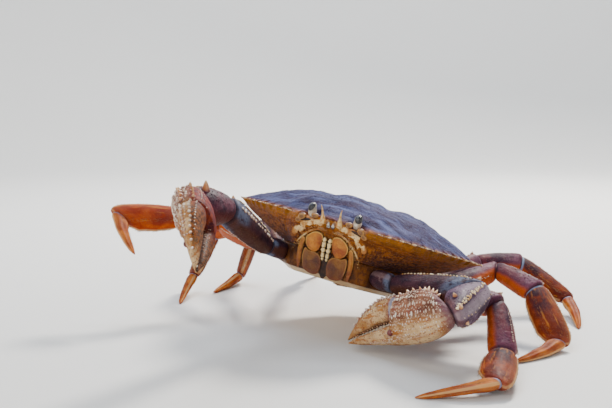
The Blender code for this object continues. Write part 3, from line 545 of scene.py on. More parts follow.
def cornea_finish():
    """The black eye with fine facets, paler where it meets the stalk."""
    f = Finish("cornea", gloss(0.35, 0.08))
    facets = f.grains(34.0, 0.15)
    cloud = f.mottle(6.0, 2.0)
    colour = f.layers(
        f.blend(facets.rise(0.1, 0.5), (0.03, 0.03, 0.036), (0.008, 0.008, 0.011)),
        (cloud.rise(0.5, 0.7) * 0.4, (0.10, 0.10, 0.11)),
        (f.mark[0].rise(0.4, 0.48), (0.44, 0.38, 0.30)),
    )
    return f.done(colour, 0.24 + cloud * 0.12, facets.rise(0.6, 0.2), 0.0001, 0.35)


def feeler_finish(name, pale, deep):
    f = Finish(name, gloss(0.3, 0.25))
    cloud = f.mottle(6.0, 3.0)
    bands = f.mottle(1.0, 2.0, 0.5, (4.0, 4.0, 14.0))
    colour = f.blend(cloud.rise(0.38, 0.62), pale, deep)
    colour = f.blend(bands.rise(0.52, 0.66) * 0.5, colour, (0.30, 0.12, 0.06))
    return f.done(colour, 0.42 + cloud * 0.15, bands, 0.0003, 0.6)


def floor_finish():
    f = Finish("floor", {})
    f.where = f.node("ShaderNodeTexCoord", {}, {}, "Object")
    cloud = f.mottle(3.0, 4.0)
    fine = f.mottle(220.0, 3.0)
    colour = f.blend(cloud, (0.74, 0.735, 0.72), (0.77, 0.765, 0.75))
    return f.done(colour, 0.62 + fine * 0.08, fine, 0.0001, 0.2)


# For each: coat, clouds and their step, two pale colours, root colour and its share of the
# height, roughness, and relief as (scale of its own clouds or 0, distance, strength)
BEAD_LOOKS = {
    "pearl": ("pearl granules", (0.4, 0.2), (1.6, 2.0), (0.4, 0.62),
              ((0.60, 0.40, 0.27), (0.76, 0.66, 0.54)), (0.24, 0.085, 0.05), 0.6,
              0.32, (16.0, 0.0002, 0.4)),
    "gold": ("gold beads", (0.5, 0.14), (1.9, 2.0), (0.38, 0.6),
             ((0.56, 0.28, 0.06), (0.76, 0.60, 0.36)), (0.26, 0.09, 0.015), 0.5,
             0.28, (16.0, 0.0002, 0.4)),
    "tooth": ("crushing teeth", (0.5, 0.15), (3.0, 3.0), (0.4, 0.6),
              ((0.50, 0.35, 0.22), (0.76, 0.66, 0.52)), (0.12, 0.045, 0.03), 0.5,
              0.3, (0.0, 0.0003, 0.5)),
}
# For each: dark, warm, light, under side and where it starts, granules, knee and where
LIMB_LOOKS = {
    "leg": ("leg", (0.042, 0.013, 0.03), (0.115, 0.024, 0.036), (0.40, 0.20, 0.14),
            (0.40, 0.062, 0.003), (0.3, 0.75), 0.6, (0.16, 0.05, 0.09), (0.4, 0.9)),
    "arm": ("arm", (0.022, 0.009, 0.018), (0.06, 0.021, 0.03), (0.24, 0.15, 0.15),
            (0.07, 0.022, 0.014), (0.75, 1.0), 0.8, (0.13, 0.16, 0.25), (0.66, 0.84)),
    # The two wrists are lit and shaded copies of one shell: the right one darker as painted shade,
    # the left one paler as painted light.
    "wrist right": ("shaded wrist", (0.026, 0.01, 0.024), (0.11, 0.03, 0.05), (0.40, 0.22, 0.27),
                    (0.09, 0.02, 0.016), (0.6, 1.0), 0.6, (0.13, 0.05, 0.08), (0.7, 1.0)),
    "wrist left": ("wrist", (0.042, 0.018, 0.042), (0.13, 0.075, 0.125), (0.42, 0.33, 0.37),
                   (0.30, 0.095, 0.02), (0.6, 0.95), 0.85, (0.22, 0.10, 0.09), (0.8, 1.0)),
}
# For each: deep, bright and mauve, and how much mauve
FOOT_LOOKS = {
    "foot": ((0.10, 0.009, 0.001), (0.24, 0.036, 0.0015), (0.035, 0.01, 0.018), 0.85),
    # The raised leg's propodus: a brighter copy of the foot colours, painted sunlight.
    "sunlit foot": ((0.26, 0.024, 0.001), (0.46, 0.075, 0.002), (0.12, 0.02, 0.02), 0.5),
    "toe": ((0.27, 0.042, 0.002), (0.50, 0.14, 0.01), (0.17, 0.035, 0.016), 0.5),
}
FINISHES = {
    "shell": shell_finish("shell", 0.42),
    "flank": shell_finish("flanks", 0.1),
    "face": face_finish(),
    "brow": brow_finish(),
    "wall": wall_finish(),
    "thorn": thorn_finish(),
    "bristle": bristle_finish(),
    "palm": hand_finish("palm"),
    "finger": hand_finish("finger"),
    "joint": joint_finish(),
    "hinge": hinge_finish(),
    "plate": plate_finish(),
    "palp": palp_finish(),
    "painted shadow": painted_shadow_finish(),
    "belly": belly_finish(),
    "stalk": stalk_finish(),
    "cornea": cornea_finish(),
    "feeler": feeler_finish("feeler", (0.78, 0.56, 0.24), (0.60, 0.25, 0.04)),
    "small feeler": feeler_finish("small feeler", (0.60, 0.57, 0.52), (0.10, 0.08, 0.09)),
}
FINISHES.update((title, bead_finish(*look)) for title, look in BEAD_LOOKS.items())
FINISHES.update((title, limb_finish(*look)) for title, look in LIMB_LOOKS.items())
FINISHES.update((title, foot_finish(title, *look)) for title, look in FOOT_LOOKS.items())


# Body pose and shell, as packed

BODY_CENTRE = Vector((36.0, 0.0, 65.5))
BODY_YAW = -19.0
BODY_PITCH = -13.5
BODY_ROLL = 12.5
HALF_WIDTH = 90.0
FRONT_REACH = 60.0
MARGIN_POWER = 1.7
BACK_REACH = 52.0
CROWN_HEIGHT = 21.0
CROWN_Y = -4.0
LID_Z = -20.0
FACE_Y = -62.0
FACE_LEAN = 0.37
TOOTH_COUNT = 9
TOOTH_DEPTH = 2.8
TOOTH_TURNS = (26.0, 76.0)
FRONT_TEETH = [(0.0, -64.5), (2.2, -62.4), (4.6, -64.2), (7.0, -62.0), (9.4, -62.8)]
ORBIT = [(11.0, -56.0), (12.4, -53.2), (19.2, -53.2), (21.0, -55.2)]
POSTORBITAL_TOOTH = (24.6, -60.2)
SPINE_ROOT_FRONT = (80.5, -10.0)
SPINE_ROOT_BACK = (81.0, 5.0)
BACK_CORNER = (36.0, 49.0)
FACE_CORNER_X = 21.5
LIMB_CORNERS = [
    (27.0, -47.5), (37.5, -33.5), (45.0, -18.0), (48.0, -1.0), (45.5, 15.0), (36.0, 29.0)
]
BACK_EDGE = [(24.0, 38.0), (10.0, 41.0)]
WALL_FOOT_Z = -34.0
STERNUM_Z = -37.5
STERNUM_INSET = 0.82
EYE_PLACE = (14.6, -57.0)
EYE_AIM = Vector((0.3, -0.25, 0.95))
FEELER_PLACE = (7.2, -3.2)
FEELER_AIM = Vector((0.06, -0.62, 0.78))
# The tail flap from its root to its tip: y, z, half width
APRON_PATH = [
    (44.2, -21.5, 15.0), (44.6, -27.0, 15.0), (43.6, -33.0, 14.4), (39.4, -38.6, 13.4),
    (32.0, -39.4, 12.0), (22.0, -39.4, 9.4), (12.0, -39.4, 7.4), (2.0, -39.4, 6.2),
    (-6.0, -39.4, 4.6), (-10.0, -39.4, 2.0),
]
APRON_THICK = 1.5
FRINGE = 1


# Building blocks

# Granules and spines: rise as a share of the height, width as a share of the radius
BEAD = [(-0.45, 0.8), (0.0, 1.0), (0.5, 0.86), (0.86, 0.52), (1.0, 0.12)]
SPINE = [(-0.25, 1.08), (0.0, 1.0), (0.35, 0.74), (0.7, 0.46), (0.92, 0.2), (1.0, 0.06)]


def circle(sides):
    """Cosine and sine of evenly stepped turns."""
    turns = [2.0 * math.pi * i / sides for i in range(sides)]
    return [(math.cos(turn), math.sin(turn)) for turn in turns]


def shares(count):
    return [step / count for step in range(count + 1)]


def mix(first, second, share):
    return first + (second - first) * share


def clamp(value):
    return min(max(value, 0.0), 1.0)


def hump(value, middle, width):
    """A smooth bump of height 1 around a middle."""
    return math.exp(-(((value - middle) / width) ** 2))


def turn_gap(a, b):
    """Degrees between two turns, the short way round."""
    return (a - b + 180.0) % 360.0 - 180.0


def rough(place, scale, seed=0.0):
    """Cloudy noise about 0, between about -1 and 1."""
    return noise.noise(Vector((place.x / scale + seed, place.y / scale, place.z / scale)))


class Form:
    """Collects closed bodies that make one piece, with values painted on their points."""

    def __init__(self):
        self.points, self.where, self.mark = [], [], []
        self.faces, self.finish_of = [], []

    def add_point(self, point, where, mark):
        self.points.append(point)
        self.where.append(where)
        self.mark.append(mark)

    def add_face(self, corners, finish):
        self.faces.append(corners)
        self.finish_of.append(finish)

    def add_rings(self, rings, finish=0):
        """Rings of (point, where, mark), all of one length; both ends are closed by fans."""
        first, sides = len(self.points), len(rings[0])
        for ring in rings:
            for spot in ring:
                self.add_point(*spot)
        for row in range(len(rings) - 1):
            a = first + row * sides
            for i in range(sides):
                j = (i + 1) % sides
                self.add_face((a + i, a + j, a + sides + j, a + sides + i), finish)
        self.add_fan(first, sides, finish, True)
        self.add_fan(first + (len(rings) - 1) * sides, sides, finish, False)

    def add_fan(self, first, sides, finish, turned):
        hub, end = len(self.points), first + sides
        middle = sum(self.points[first:end], Vector()) / sides
        self.add_point(middle, sum(self.where[first:end], Vector()) / sides, self.mark[first])
        for i in range(sides):
            a, b = first + i, first + (i + 1) % sides
            self.add_face((b, a, hub) if turned else (a, b, hub), finish)

    def add_tube(self, stations, sides, spot_at, finish=0, turned=False):
        """Rings at stations, where spot_at(station, cosine, sine) gives each of their points."""
        corners = circle(sides)[::-1] if turned else circle(sides)
        rings = [[spot_at(place, *corner) for corner in corners] for place in stations]
        self.add_rings(rings, finish)

    def add_stud(
        self, profile, foot, aim, size, finish, where, mark, sides=8, along=None, longer=1.0
    ):
        """A granule or spine with a sunk root, longer along one direction if wanted.

        Its size is radius and height, and its mark starts with the share of the height.
        """
        turn = UP.rotation_difference(aim).to_matrix()
        radius, height = size
        rings = []
        for rise, width in profile:
            ring = []
            for c, s in circle(sides):
                spot = turn @ (Vector((c, s, 0.0)) * radius * width)
                if along is not None:
                    spot += along * (spot.dot(along) * (longer - 1.0))
                ring.append((foot + spot + aim * height * rise, where, (max(rise, 0.0), *mark[1:])))
            rings.append(ring)
        self.add_rings(rings, finish)

    def add_bristle(self, foot, aim, length, width, finish, where, droop):
        """A thin three-sided hair that curves over."""
        side = aim.cross(droop)
        if side.length < 1e-4:
            side = aim.orthogonal()
        side.normalize()
        face = side.cross(aim).normalized()

        def spot_at(station, c, s):
            share, size = station
            middle = foot + aim * length * share + droop * length * share * share
            return middle + (side * c + face * s) * width * size, where, (share, 0.0, 0.0)

        self.add_tube(((0.0, 1.0), (0.5, 0.7), (1.0, 0.12)), 3, spot_at, finish)

    def piece(self, name, finishes, slot, *nodes):
        """Makes the mesh, none of it under the floor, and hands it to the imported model."""
        mesh = bpy.data.meshes.new(name)
        points = [(point + ROW_SHIFT) * MM for point in self.points]
        for point in points:
            point.z = max(point.z, 0.0)
        mesh.from_pydata(points, [], self.faces)
        for title, values in (("where", self.where), ("mark", self.mark)):
            layer = mesh.attributes.new(title, "FLOAT_VECTOR", "POINT")
            layer.data.foreach_set("vector", [number for value in values for number in value])
        for title in finishes:
            mesh.materials.append(FINISHES[title])
        mesh.polygons.foreach_set("material_index", self.finish_of)
        mesh.shade_smooth()
        mesh.validate()
        made = bpy.data.objects.new(name, mesh)
        bpy.context.collection.objects.link(made)
        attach(made, "root")
        if nodes:
            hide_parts(*nodes)


class Curve:
    """Smooth values between the stations of a table, never past them."""

    def __init__(self, stations):
        self.places = [station[0] for station in stations]
        self.values = [station[1:] for station in stations]
        self.slopes = []
        widths = [b - a for a, b in zip(self.places, self.places[1:])]
        for column in zip(*self.values):
            steps = [(b - a) / width for a, b, width in zip(column, column[1:], widths)]
            slopes = [steps[0]]
            for before, after in zip(steps, steps[1:]):
                flat = before * after <= 0.0
                slopes.append(0.0 if flat else 2.0 * before * after / (before + after))
            self.slopes.append(slopes + [steps[-1]])

    def at(self, place):
        i = 0
        while i < len(self.places) - 2 and place > self.places[i + 1]:
            i += 1
        width = self.places[i + 1] - self.places[i]
        t = clamp((place - self.places[i]) / width)
        found = []
        for a, b, slopes in zip(self.values[i], self.values[i + 1], self.slopes):
            rise = (1.0 + 2.0 * t) * (1.0 - t) ** 2 * a + t * t * (3.0 - 2.0 * t) * b
            lean = t * (1.0 - t) ** 2 * slopes[i] - t * t * (1.0 - t) * slopes[i + 1]
            found.append(rise + lean * width)
        return found


# The body's own axes


def body_turn():
    yaw = Matrix.Rotation(math.radians(BODY_YAW), 3, "Z")
    pitch = Matrix.Rotation(math.radians(BODY_PITCH), 3, "X")
    roll = Matrix.Rotation(math.radians(BODY_ROLL), 3, "Y")
    return yaw @ pitch @ roll


BODY_TURN = body_turn()
FACE_DOWN = Vector((0.0, FACE_LEAN, -1.0)).normalized()
FACE_OUT = Vector((0.0, -1.0, -FACE_LEAN)).normalized()


def in_room(point):
    return BODY_CENTRE + BODY_TURN @ Vector(point)


def own(spot, *mark):
    """A point given in the body's axes, as the rings need it."""
    return in_room(spot), spot * CM, mark


def add_own_bead(form, spot, aim, size, height, finish, *mark):
    size = (size, height)
    form.add_stud(BEAD, in_room(spot), BODY_TURN @ aim, size, finish, spot * CM, mark, 6)


def add_own_bristle(form, spot, aim, length, width, finish, droop):
    aim = (BODY_TURN @ aim).normalized()
    form.add_bristle(in_room(spot), aim, length, width, finish, spot * CM, BODY_TURN @ droop)


def face_y(z):
    return FACE_Y - FACE_LEAN * z


def mirrored(point):
    return Vector((-point.x, point.y, point.z))


def flat_point(corner):
    return Vector((*corner, 0.0))


def margin_point(turn):
    power = 2.0 / MARGIN_POWER
    x = HALF_WIDTH * math.sin(math.radians(turn)) ** power
    y = -FRONT_REACH * math.cos(math.radians(turn)) ** power
    return Vector((x, y, 0.0))


def limb_outline(z):
    corners = [(FACE_CORNER_X, face_y(z))] + LIMB_CORNERS + BACK_EDGE
    half = [Vector((x, y, z)) for x, y in corners]
    return half + [mirrored(point) for point in reversed(half)]


def towards_outline(outline, point):
    """Where the line from the crown's middle to a point crosses an outline."""
    middle = Vector((0.0, CROWN_Y))
    ray = (Vector((point.x, point.y)) - middle).normalized()
    for a, b in zip(outline, outline[1:] + outline[:1]):
        start = Vector((a.x, a.y)) - middle
        edge = Vector((b.x - a.x, b.y - a.y))
        cross = ray.x * edge.y - ray.y * edge.x
        if abs(cross) < 1e-9:
            continue
        along = (start.x * edge.y - start.y * edge.x) / cross
        share = (start.x * ray.y - start.y * ray.x) / cross
        if along > 0.0 and -1e-6 <= share <= 1.000001:
            return Vector((middle.x + ray.x * along, middle.y + ray.y * along, a.z))
    return Vector((middle.x, middle.y, outline[0].z))


# Shell

# Across one tooth of the margin: shift in pitches, how far out, how much of a tip
TOOTH_PROFILE = [
    (-0.42, -0.9, 0.0), (-0.36, -0.62, 0.1), (-0.3, -0.2, 0.5), (-0.25, 0.16, 0.9),
    (-0.2, 0.36, 1.0), (-0.15, 0.3, 0.9), (-0.05, 0.08, 0.4), (0.08, -0.08, 0.15),
    (0.22, -0.2, 0.05), (0.36, -0.4, 0.0), (0.47, -0.6, 0.0),
]
# Round the lateral spine: corner, how far in the smooth margin runs, how much of a tip
SPINE_CORNERS = [
    (SPINE_ROOT_FRONT, 0.97, 0.2), ((HALF_WIDTH, 0.0), 0.92, 1.0), (SPINE_ROOT_BACK, 0.98, 0.2)
]
# Swellings and hollows of the shell's left half: x, y, spread in x and y, rise
SWELLINGS = [
    (0.0, -26.0, 20.0, 14.0, 1.2), (0.0, 18.0, 11.0, 14.0, 1.6), (38.0, 0.0, 20.0, 22.0, 1.0),
    (20.0, 2.0, 5.0, 22.0, -1.1), (14.0, 40.0, 16.0, 8.0, 0.8), (9.0, -50.0, 5.0, 5.0, 0.7),
    (27.0, -37.0, 10.0, 6.5, 0.9), (24.0, -20.0, 4.0, 9.0, -0.7), (52.0, -24.0, 12.0, 7.0, 0.8),
    (41.0, -33.0, 4.0, 6.0, -0.6), (61.0, 0.0, 14.0, 7.0, 0.6), (50.0, 18.0, 12.0, 8.0, 0.5),
    (13.0, 3.0, 3.0, 9.0, -0.6), (0.0, -9.0, 9.0, 4.0, -0.7), (0.0, 34.0, 18.0, 4.0, -0.5),
]
SWELLING_RISE = 1.4
# Ridges and hollows of the face's left half: x, depth, spread in x and depth, rise
FACE_FORMS = [
    (15.5, 7.0, 5.0, 2.6, 1.2), (0.0, 7.6, 9.0, 1.3, 0.8), (18.6, 16.0, 1.5, 8.0, -0.5),
    (4.6, 4.6, 3.0, 1.6, 1.0), (9.6, 3.6, 2.2, 2.4, 0.9), (0.0, 5.4, 2.0, 1.6, -0.8),
    (22.0, 12.0, 3.0, 7.0, 0.7),
]
FLANK_SHARE = Curve([(0.0, 0.0), (4.0, 0.14), (12.0, 0.55), (20.0, 1.0)])
FLANK_BULGE = 2.2
TOP_RINGS = [0.03, 0.07, 0.11] + [0.15 + 0.0185 * step for step in range(46)]
RIM_DEPTH = 4.0
DEPTHS = [0.5, 1.1, 1.9, 2.9] + [RIM_DEPTH + step for step in range(17)]
TOP_GRANULES = 1100
FLANK_GRANULES = 1500
# Finishes of the shell after its main one; bristles are 2 on every piece but the apron
GOLD, BRISTLE, FLANK = 1, 2, 3


def mirrored_humps(forms, x, y):
    height = 0.0
    for place_x, place_y, spread_x, spread_y, rise in forms:
        rise *= 0.5 if place_x == 0.0 else 1.0
        for side in (-1.0, 1.0):
            height += rise * hump(x, side * place_x, spread_x) * hump(y, place_y, spread_y)
    return height


def inner_edge(x):
    """The plain curve of the margin behind the front teeth and orbits."""
    share = (abs(x) / HALF_WIDTH) ** MARGIN_POWER
    return Vector((x, -(FRONT_REACH - 1.5) * (1.0 - share) ** (1.0 / MARGIN_POWER), 0.0))


def between_rows(first, second, steps):
    """Rows of the margin evenly stepped between two others."""
    rows = []
    for share in shares(steps)[1:-1]:
        points = [a.lerp(b, share) for a, b in zip(first[:2], second[:2])]
        rows.append((*points, *(mix(a, b, share) for a, b in zip(first[2:], second[2:]))))
    return rows


def half_margin():
    """The left half of the margin: toothed point, smooth point, share of face, share of tip."""
    rows = []
    corners = [flat_point(corner) for corner in FRONT_TEETH + ORBIT + [POSTORBITAL_TOOTH]]
    for a, b in zip(corners, corners[1:]):
        steps = max(2, round((b - a).length / 0.9))
        for i in range(steps):
            point = a.lerp(b, i / steps)
            rows.append((point, inner_edge(point.x), 1.0, 0.2))
    rows.append((corners[-1], inner_edge(corners[-1].x), 1.0, 1.0))
    first, last = TOOTH_TURNS
    pitch = (last - first) / TOOTH_COUNT
    teeth = []
    for tooth in range(TOOTH_COUNT):
        for shift, out, tip in TOOTH_PROFILE:
            smooth = margin_point(first + pitch * (tooth + 0.5) + shift * pitch)
            outward = Vector((smooth.x / HALF_WIDTH, smooth.y / FRONT_REACH, 0.0)).normalized()
            teeth.append((smooth + outward * out * TOOTH_DEPTH, smooth - outward, 0.0, tip))
    rows += between_rows(rows[-1], teeth[0], 9) + teeth
    for corner, inner, tip in SPINE_CORNERS:
        point = flat_point(corner)
        row = (point, Vector((point.x * inner, point.y, 0.0)), 0.0, tip)
        rows += between_rows(rows[-1], row, 6) + [row]
    start, end = flat_point(SPINE_ROOT_BACK), flat_point(BACK_CORNER)
    for share in shares(32)[1:-1]:
        point = start.lerp(end, share)
        point += Vector((0.7, 0.7, 0.0)) * 2.2 * math.sin(math.pi * share ** 1.6)
        rows.append((point, point * 0.99, 0.0, 0.0))
    for step in range(15):
        x = BACK_CORNER[0] * (1.0 - step / 14.4)
        y = BACK_REACH - (BACK_REACH - BACK_CORNER[1]) * (x / BACK_CORNER[0]) ** 3
        point = Vector((max(x, 1.0), y, 0.0))
        rows.append((point, point * 0.99, 0.0, 0.0))
    return rows


HALF_MARGIN = half_margin()
MARGIN = HALF_MARGIN + [
    (mirrored(a), mirrored(b), face, tip) for a, b, face, tip in reversed(HALF_MARGIN[1:])
]
LOWER_OUTLINE = limb_outline(LID_Z)


def top_point(row, reach):
    """A point of the shell's upper side, in the body's axes."""
    edge, smooth, face, _ = row
    middle = Vector((0.0, CROWN_Y, 0.0))
    start = 0.955 - 0.065 * face
    toothed = max(0.0, (reach - start) / (1.0 - start))
    point = middle + (smooth.lerp(edge, toothed) - middle) * reach
    inland = 1.0 - reach ** 4
    crown = CROWN_HEIGHT * (1.0 - reach ** 2.3)
    swollen = mirrored_humps(SWELLINGS, point.x, point.y) * SWELLING_RISE
    point.z = crown + swollen * inland
    flat = Vector((point.x, point.y, 0.0))
    folds = 0.95 * rough(Vector((point.x, point.y * 1.6, 0.0)), 13.0) + 0.55 * rough(flat, 6.0, 9.0)
    point.z += folds * min(inland * 3.0, 1.0)
    point.z += 1.2 * hump(point.x, 0.0, 14.0) * hump(reach, 0.97, 0.12) * face
    return point


def flank_point(row, depth):
    """A point of the shell below its margin: its face in front, its flanks at the sides."""
    edge, smooth, face, _ = row
    level = max(depth, RIM_DEPTH)
    z = -level
    inner = towards_outline(LOWER_OUTLINE, smooth)
    side = smooth.lerp(inner, FLANK_SHARE.at(level)[0])
    outward = Vector((side.x, side.y, 0.0)).normalized()
    side += outward * FLANK_BULGE * math.sin(math.pi * level / 20.0) ** 1.3
    side.z = z
    narrow = FACE_CORNER_X / POSTORBITAL_TOOTH[0]
    x = smooth.x * mix(1.0, narrow, z / LID_Z)
    ease = clamp((20.0 - level) / 2.0)
    front = Vector((x, face_y(z), z))
    front += FACE_OUT * mirrored_humps(FACE_FORMS, x, level) * ease
    point = side.lerp(front, face)
    point += outward * (0.3 * rough(point, 3.4) + 0.16 * rough(point, 1.5, 4.0)) * ease
    if depth < RIM_DEPTH:
        point = edge.lerp(point, (depth / RIM_DEPTH) ** 0.8)
        point.z = -depth
    return point


def surface_aim(spot, along, across):
    """The outward direction of a surface from two steps on it."""
    aim = along.cross(across).normalized()
    return aim if aim.dot(spot) > 0.0 else -aim


def below_share(depth):
    """How far down the flank a depth is, as the finish reads it."""
    return min(0.25 + depth / 26.0, 1.0)


def make_shell():
    """Marks: reach from the crown, or face below the margin; how far below; tooth tips."""
    rng = random.Random(11)
    form = Form()
    rings = []
    for reach in TOP_RINGS + [1.0]:
        near_edge = clamp((reach - 0.93) / 0.07)
        rings.append([own(top_point(row, reach), reach, 0.0, row[3] * near_edge) for row in MARGIN])
    for depth in DEPTHS:
        tip, below = max(1.0 - depth / 3.0, 0.0), below_share(depth)
        rings.append([own(flank_point(row, depth), row[2], below, row[3] * tip) for row in MARGIN])
    form.add_rings(rings)
    count = len(MARGIN)
    for index in range((len(TOP_RINGS) - 1) * count, len(form.faces)):
        form.finish_of[index] = FLANK
    add_edge_beads(form, rng)
    for _ in range(TOP_GRANULES):
        index = rng.randrange(count)
        reach = rng.uniform(0.2, 0.985) ** 0.7
        row = MARGIN[index]
        spot = top_point(row, reach)
        if rng.random() > 0.35 + 0.65 * reach ** 3 + 0.5 * rough(spot, 14.0, 3.0):
            continue
        along = top_point(row, reach + 0.01) - top_point(row, reach - 0.01)
        across = top_point(MARGIN[(index + 2) % count], reach) - spot
        size = rng.uniform(0.22, 0.5)
        aim = surface_aim(UP, along, across)
        add_own_bead(form, spot, aim, size, size * 0.7, 0, reach, 0.0, 0.35)
    for _ in range(FLANK_GRANULES):
        index = rng.randrange(count)
        row = MARGIN[index]
        if row[0].y > 12.0:
            continue
        depth = rng.uniform(1.6, 19.0)
        spot = flank_point(row, depth)
        along = flank_point(row, depth + 0.5) - spot
        across = flank_point(MARGIN[(index + 2) % count], depth) - spot
        aim = surface_aim(Vector((spot.x, spot.y, -30.0)), along, across)
        if rng.random() < 0.55:
            size = rng.uniform(0.2, 0.42)
            add_own_bead(form, spot, aim, size, size * 0.7, FLANK, row[2], below_share(depth), 0.5)
        else:
            away = Vector((spot.x, spot.y * 0.3, 6.0)).normalized()
            length = rng.uniform(0.9, 1.9)
            form.add_bristle(
                in_room(spot) - BODY_TURN @ aim * 0.2,
                (BODY_TURN @ (aim * 0.5 + away)).normalized(),
                length, 0.09, BRISTLE, spot * CM, BODY_TURN @ (away * 0.5),
            )
    titles = ("shell", "gold", "bristle", "flank")
    form.piece("carapace_shell", titles, "shell", "carapace")


def add_edge_beads(form, rng):
    """The row of small beads along the margin, from the outer tooth of one orbit to the other."""
    for index, (edge, smooth, face, tip) in enumerate(MARGIN):
        following = MARGIN[(index + 1) % len(MARGIN)][0]
        if face > 0.5:
            continue
        inward = (smooth - edge).normalized() if tip < 0.5 else Vector()
        steps = max(1, round((following - edge).length / 1.0))
        for step in range(steps):
            spot = edge.lerp(following, (step + rng.uniform(-0.2, 0.2)) / steps)
            spot = spot * 0.995 + inward * 0.3 + UP * rng.uniform(-0.1, 0.25)
            size = rng.uniform(0.34, 0.56) * (1.25 if tip > 0.6 else 1.0)
            aim = Vector((spot.x, spot.y, 30.0)).normalized()
            add_own_bead(form, spot, aim, size, size, GOLD, 0.0, 0.0, 1.0)


# Face

# Outlines on the face's left half: x, distance down the leaning face
MERUS_PLATE = [
    (3.3, 10.8), (5.0, 8.8), (8.4, 8.5), (12.0, 10.5), (14.6, 14.0), (14.1, 18.2), (11.2, 21.6),
    (7.4, 22.2), (4.9, 19.8), (3.6, 15.2),
]
ISCHIUM_PLATE = [
    (3.4, 24.4), (6.4, 22.5), (11.0, 22.4), (14.4, 21.2), (15.4, 25.2), (15.0, 30.6),
    (13.2, 35.8), (8.0, 37.8), (3.4, 36.4), (1.9, 31.0), (2.2, 27.2),
]
PALP_PLATE = [
    (15.2, 15.6), (16.6, 14.2), (18.0, 15.8), (19.0, 20.0), (19.4, 26.0), (18.8, 32.0),
    (17.2, 36.4), (16.2, 32.0), (16.2, 25.0), (15.8, 19.6),
]
# A thin dark plate of painted shadow in the gap between the jaws
SHADOW_GAP_PLATE = [
    (-0.4, 14.4), (1.4, 14.8), (2.4, 17.0), (3.2, 23.0), (2.8, 31.0), (2.2, 37.0), (-0.4, 37.8)
]
# From a plate's foot to its middle: rise, width
PLATE_PROFILE = [
    (0.0, 0.5), (0.0, 0.97), (0.35, 1.0), (0.6, 0.99), (0.7, 0.96), (0.67, 0.925), (0.72, 0.86),
    (0.86, 0.66), (0.96, 0.4), (1.0, 0.14),
]
# The bead-like joints of the palps: x, place, radius, half length
PALP_JOINTS = [
    (1.9, 12.3, 1.25, 1.9), (1.85, 15.6, 1.5, 2.2), (1.75, 19.2, 1.35, 2.1),
    (1.6, 22.6, 1.2, 1.9), (1.45, 25.3, 0.8, 1.2),
]
# Lobes round mouth and eye: x, place, half sizes, lean in degrees, rise, finish; finish 3 is the
# painted shadow under the eye
FACE_LOBES = [
    (8.4, 3.2, 5.4, 2.6, 8.0, 1.0, 0), (16.4, 5.8, 6.2, 3.8, 32.0, 1.1, 0),
    (21.6, 11.0, 5.6, 3.0, 44.0, 0.8, 0), (6.2, 6.3, 3.2, 1.3, 14.0, 1.1, 1),
    (2.6, 1.2, 1.9, 2.1, 0.0, 1.6, 1), (20.4, 1.7, 2.9, 2.2, 24.0, 1.9, 1),
    (17.4, 3.3, 4.4, 1.2, 14.0, 1.2, 3), (11.8, -0.8, 2.6, 1.7, 0.0, 1.6, 1),
    (22.6, 4.6, 2.4, 1.7, 30.0, 1.0, 1),
]
MOUTH_RIDGE = [
    (1.6, 6.6), (5.0, 6.9), (9.0, 7.8), (12.8, 9.6), (16.0, 12.6), (19.0, 16.0), (21.4, 19.6)
]
# The jaws' fringes: range of x, range of place, lean of the hairs
JAW_FRINGES = {
    "inner": ((3.2, 4.2), (12.0, 36.0), (-0.9, 0.0, 0.0)),
    "outer": ((15.0, 15.8), (20.0, 35.0), (0.5, 0.0, 0.0)),
    "low": ((4.5, 13.0), (21.6, 22.4), (0.0, 0.2, -0.6)),
}
STALK_SHAPE = Curve([
    (-0.6, 2.1), (1.2, 1.8), (2.6, 2.2), (4.2, 2.7), (5.8, 2.8), (7.2, 2.6), (8.8, 1.9), (10.1, 0.6)
])


def face_spot(x, place, rise):
    """A point on or over the leaning face, in the body's axes."""
    return Vector((x, FACE_Y, 0.0)) + FACE_DOWN * place + FACE_OUT * rise


def smooth_loop(corners, count):
    """Evenly stepped points of a smooth closed line through corners."""
    points = []
    total = len(corners)
    for step in range(count):
        whole = int(total * step / count)
        t = total * step / count - whole
        a, b, c, d = (Vector(corners[(whole + k) % total]) for k in (-1, 0, 1, 2))
        bend = (2.0 * a - 5.0 * b + 4.0 * c - d) * t * t + (3.0 * b - a - 3.0 * c + d) * t ** 3
        points.append((2.0 * b + (c - a) * t + bend) * 0.5)
    return points


def add_plate(form, outline, height, finish, sense, kind, lift=GAP):
    """A domed plate with a thin rim, flat behind; its marks are rim, kind and lit side."""
    corners = [(x * sense, place) for x, place in outline]
    if sense < 0.0:
        corners.reverse()
    loop = smooth_loop(corners, 48)
    middle = sum(loop, Vector((0.0, 0.0))) / len(loop)
    light = Vector((0.5 * sense, -0.87))
    rings = []
    for rise, scale in PLATE_PROFILE:
        ring = []
        for corner in loop:
            lit = max(0.45 + 0.65 * (corner - middle).normalized().dot(light), 0.0)
            x, place = middle + (corner - middle) * scale
            spot = face_spot(x, place, lift + rise * height)
            if rise > 0.3:
                spot += FACE_OUT * (0.2 * rough(spot, 2.0) + 0.3 * rough(spot, 4.5, 2.0))
            ring.append(own(spot, scale, kind, lit))
        rings.append(ring)
    form.add_rings(rings, finish)


